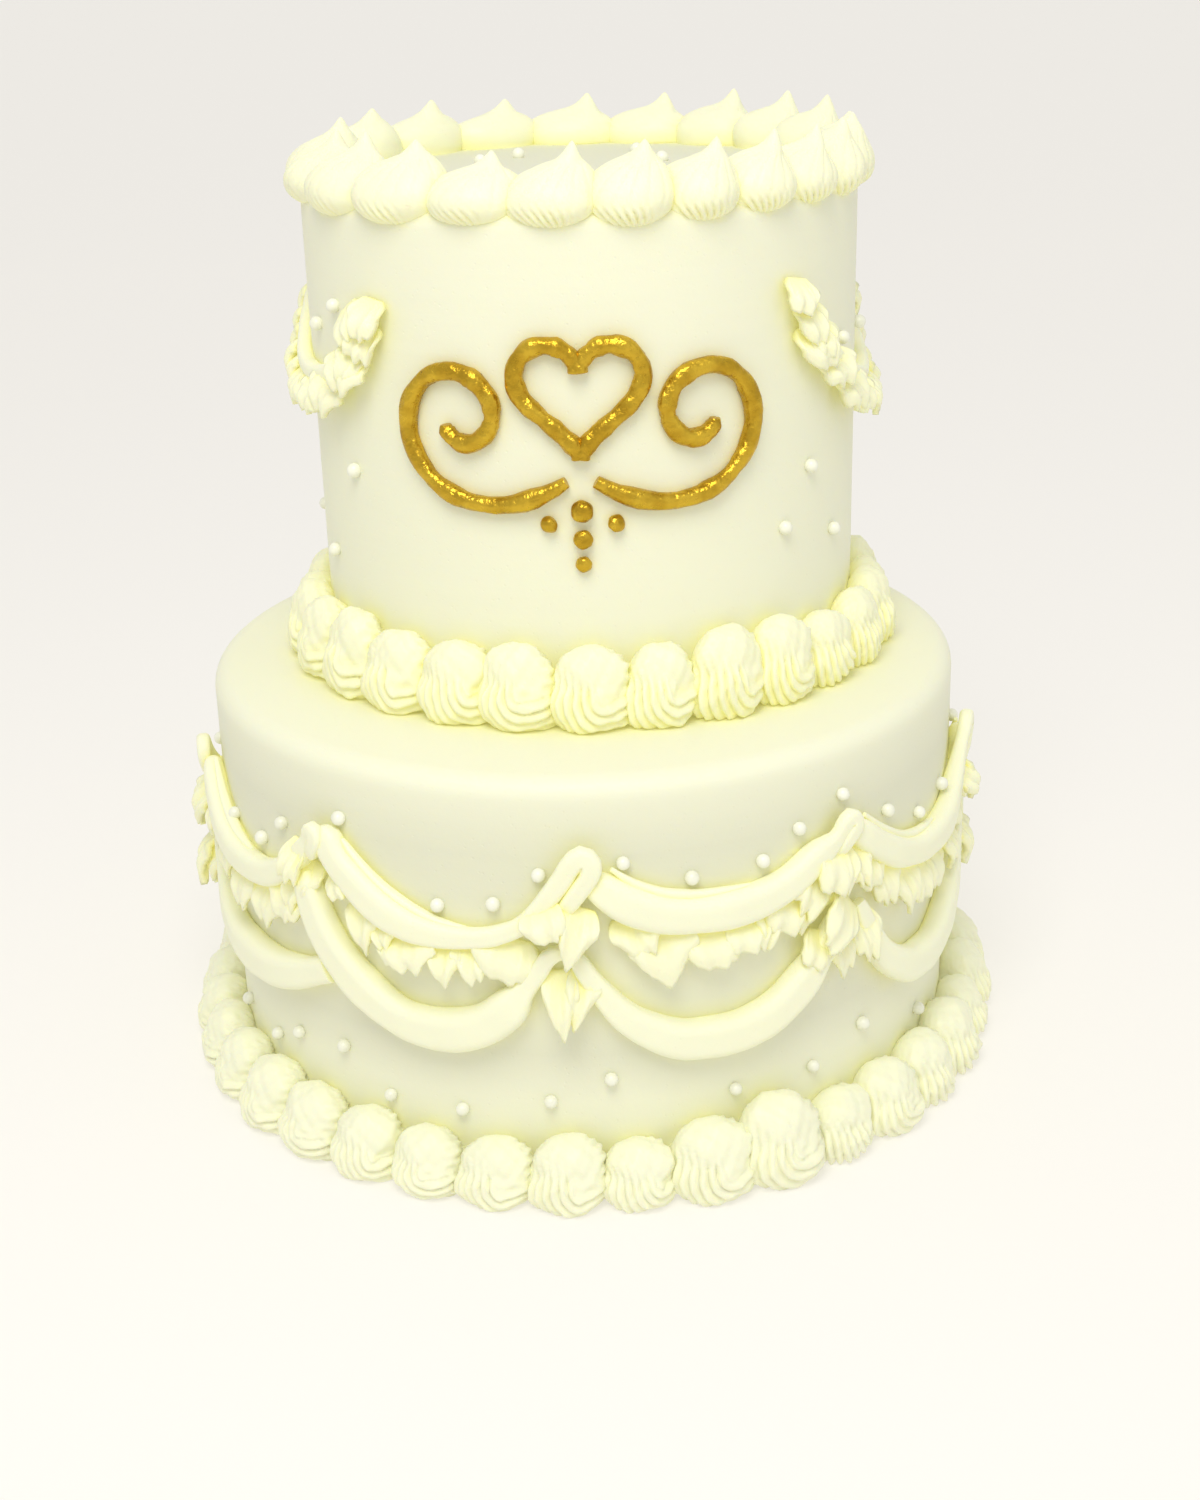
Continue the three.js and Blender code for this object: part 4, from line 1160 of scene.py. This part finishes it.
rosettes = []
for index, (upper, lower) in enumerate(zip(MEETING_POINTS, LOWER_MEETING_POINTS)):
    front = index < len(FRONT_ROSETTES)
    petals = FRONT_ROSETTES[index] if front else loose_rosette(upper, lower, 4001 + 101 * index)
    for number, (azimuth, height, out, *grown) in enumerate(petals):
        point = wall_point(LOWER_RADIUS + out, azimuth, height)
        rosettes.append(petal_place(point, azimuth, *grown, 4500 + 100 * index + 5 * number))
dress_places("rosettes", numbered("rosette", swag_count), rosettes, petal_shapes, shell_icing)


# Swags on the upper tier

# Puffs that hide the front ends of the outer two swags: azimuth, height and lean
END_PUFFS = [(44.4, 225.5, 10), (46.6, 219, -10), (49.2, 213.4, -14), (-43.4, 223.5, 8), (-44.6, 217, 16),
             (-48.2, 211.6, 14), (-51.5, 221, -30)]

upper_ropes = []
upper_ruffles = []
for number, (azimuth, height, lean) in enumerate(END_PUFFS):
    point = wall_point(UPPER_RADIUS + 0.6, azimuth, height, UPPER_SHIFT)
    upper_ruffles.append(petal_place(point, azimuth, 10 + uneven(number), 10.5 + uneven(number + 30), 1.05,
        (4, 2)[number % 2], lean, 6900 + 5 * number))
for index, (sag, sag_lean) in enumerate(zip(UPPER_SWAG_SAGS, UPPER_SWAG_LEANS)):
    start, end = UPPER_SWAGS["ends"][index:index + 2]
    line = swag_line(start, end, UPPER_SWAGS["top"], sag, sag_lean)
    stations = [(*line(share), UPPER_ROPE["out"], girth) for share, girth in UPPER_ROPE_STATIONS]
    upper_ropes.append(wall_line(UPPER_RADIUS, stations, UPPER_SHIFT))
    petals = loose_petals(start, end, 6000 + 100 * index, UPPER_RUFFLE["length"])
    upper_ruffles += ruffle_places(UPPER_RADIUS, line, petals, lambda t: UPPER_RUFFLE["below"],
        UPPER_RUFFLE["thickness"], 6500 + 100 * index, UPPER_SHIFT)
dress_lines("upper_ropes", numbered("upper_rope", len(upper_ropes)), upper_ropes, UPPER_ROPE["width"],
    UPPER_ROPE["depth"])
dress_places("upper_ruffles", numbered("upper_ruffle", len(upper_ropes)), upper_ruffles, petal_shapes,
    shell_icing)


# Gold piping

def gold_line(stroke, count, sign):
    """A gold stroke drawn as (along, up) for t from 0 to 1, with its girth a little uneven."""
    line = []
    for number in range(count + 1):
        t = number / count
        along, up = stroke(t)
        azimuth = beside(GOLD["azimuth"], sign * along, UPPER_RADIUS)
        girth = 1 + 0.1 * sin(19 * t + 1) * sin(43 * t) + 0.07 * uneven(500 + number // 3)
        run_out = min(1, 0.7 + 9 * t, 0.7 + 9 * (1 - t))
        point = wall_point(UPPER_RADIUS + GOLD["out"], azimuth, GOLD["height"] + up, UPPER_SHIFT)
        line.append((point, wall_point(1, azimuth, 0), girth * run_out))
    return line


def heart_side(t):
    angle = 0.06 + (pi - 0.06) * t
    along = 16 * sin(angle) ** 3
    up = 13 * cos(angle) - 5 * cos(2 * angle) - 2 * cos(3 * angle) - cos(4 * angle)
    return HEART["scale"] * along, HEART["rise"] + HEART["scale"] * up


def scroll_side(t):
    angle = radians(SCROLL["start"]) + 2 * pi * SCROLL["turns"] * t
    reach = SCROLL["outer"] + (SCROLL["inner"] - SCROLL["outer"]) * t + SCROLL["flare"] * exp(-9 * t)
    return SCROLL["along"] + reach * cos(angle), SCROLL["up"] + reach * sin(angle)


for node, stroke, count, signs in (
        ("gold_heart", heart_side, 60, (1, -1)),
        ("gold_scroll_left", scroll_side, 90, (-1,)),
        ("gold_scroll_right", scroll_side, 90, (1,))):
    lines = [gold_line(stroke, count, sign) for sign in signs]
    dress_lines(node + "_piping", [node], lines, GOLD["width"], GOLD["depth"], GOLD_FINISH)

drop_places = []
for along, up, radius in GOLD_DROPS:
    azimuth = beside(GOLD["azimuth"], along, UPPER_RADIUS)
    point = wall_point(UPPER_RADIUS + 0.6 * radius, azimuth, GOLD["height"] + up, UPPER_SHIFT)
    drop_places.append((point, (0.3 * along, 0.5 * up, radians(azimuth)), (radius, radius, radius), 0))
drop_shapes = shape_collection("gold_drop", small_ball, [(16, 24, (1, -0.8, 1), 1)])
dress_places("gold_drops", numbered("gold_drop", len(GOLD_DROPS)), drop_places, drop_shapes, gold_paint)

for collection in shape_collections:
    for shape in list(collection.objects):
        bpy.data.objects.remove(shape)
    bpy.data.collections.remove(collection)


# Painted shade in crevices

def shade_crevices(pieces, reach, gain):
    """Give every point of the pieces its painted crevice shade, from how shut in it is by all of them
    together.
    """
    points, corners, crease_shades, starts = [], [], [], [0]
    for piece in pieces:
        attributes = piece.data.attributes
        place, corner = triangles_of(piece.data)
        crease = np.zeros(len(place), dtype=np.float32)
        if "crease" in attributes:
            attributes["crease"].data.foreach_get("value", crease)
        else:
            attributes.new("crease", "FLOAT", "POINT")
        points.append(place)
        corners.append(corner + starts[-1])
        crease_shades.append(crease)
        starts.append(starts[-1] + len(place))
    corners = np.concatenate(corners)
    whole = bpy.data.meshes.new("whole_cake")
    whole.vertices.add(starts[-1])
    whole.vertices.foreach_set("co", np.concatenate(points).ravel())
    whole.loops.add(len(corners))
    whole.loops.foreach_set("vertex_index", corners)
    whole.polygons.add(len(corners) // 3)
    whole.polygons.foreach_set("loop_start", np.arange(0, len(corners), 3))
    whole.update(calc_edges=True)
    add_numbers(whole, "crease", np.concatenate(crease_shades))
    shaded = grow("shaded_cake", crevice_tree(), whole, {"Reach": reach, "Gain": gain})
    values = np.empty(starts[-1], dtype=np.float32)
    shaded.data.attributes["crease"].data.foreach_get("value", values)
    bpy.data.objects.remove(shaded)
    for piece, first, last in zip(pieces, starts, starts[1:]):
        piece.data.attributes["crease"].data.foreach_set("value", values[first:last])


shade_crevices([piece for piece in dressed if "pearls" not in piece.name], CREVICE["reach"] * MM,
    CREVICE["gain"])


# Floor, light and camera

FLOOR_COLOUR = (0.5, 0.487, 0.462, 1)


def floor_and_backdrop():
    """A pale floor that curves up behind the cake, in metres."""
    profile = [(-3.0, 0.0), (1.4, 0.0)]
    profile += [(1.4 + 0.8 * sin(a), 0.8 - 0.8 * cos(a)) for a in np.linspace(0.1, pi / 2, 14)]
    profile.append((2.2, 4.0))
    count = len(profile)
    mesh = bpy.data.meshes.new("floor")
    mesh.from_pydata([(x, y, z) for x in (-4.0, 4.0) for y, z in profile], [],
        [(i, count + i, count + i + 1, i + 1) for i in range(count - 1)])
    mesh.shade_smooth()
    material, tree, shader = new_material("pale_floor")
    tree.fill(shader, Base_Color=FLOOR_COLOUR, Roughness=0.9, Specular_IOR_Level=0.1,
        Emission_Color=FLOOR_COLOUR, Emission_Strength=0.95)
    mesh.materials.append(material)
    floor = add_object("floor", mesh)


def softbox(name, place, target, size, power, colour):
    light = bpy.data.lights.new(name, "AREA")
    light.shape = "SQUARE"
    light.size = size
    light.energy = power
    light.color = colour
    lamp = add_object(name, light)
    lamp.location = place
    lamp.rotation_euler = (Vector(target) - Vector(place)).to_track_quat("-Z", "Y").to_euler()


floor_and_backdrop()
softbox("key_light", (-0.07, -0.52, 0.8), (0, 0, 0.17), 0.42, 3.5, (1.0, 0.985, 0.93))
softbox("fill_light", (0.9, -0.9, 0.6), (0, 0, 0.12), 0.9, 0.8, (1.0, 1.0, 1.0))

world = bpy.data.worlds.new("studio")
world.use_nodes = True
Tree(world.node_tree).fill(world.node_tree.nodes["Background"], Color=(0.985, 0.99, 1.0, 1), Strength=0.66)
bpy.context.scene.world = world
bpy.context.scene.view_settings.view_transform = "Standard"

# The camera stands where the photograph was taken from.
CAMERA = {"place": (0, -0.56785, 0.31581), "down": 22.4701, "yaw": 0.41386, "roll": -1.70325, "lens": 49.63}
down, yaw, roll = (radians(CAMERA[name]) for name in ("down", "yaw", "roll"))
ahead = Vector((sin(yaw) * cos(down), cos(yaw) * cos(down), -sin(down)))
level = Vector((cos(yaw), -sin(yaw), 0))
upright = level.cross(ahead)
sideways = cos(roll) * level + sin(roll) * upright
upwards = cos(roll) * upright - sin(roll) * level
lens = bpy.data.cameras.new("camera")
lens.lens = CAMERA["lens"]
lens.sensor_width = 36
camera = add_object("camera", lens)
turned = Matrix((sideways, upwards, -ahead)).transposed().to_4x4()
camera.matrix_world = Matrix.Translation(CAMERA["place"]) @ turned
bpy.context.scene.camera = camera
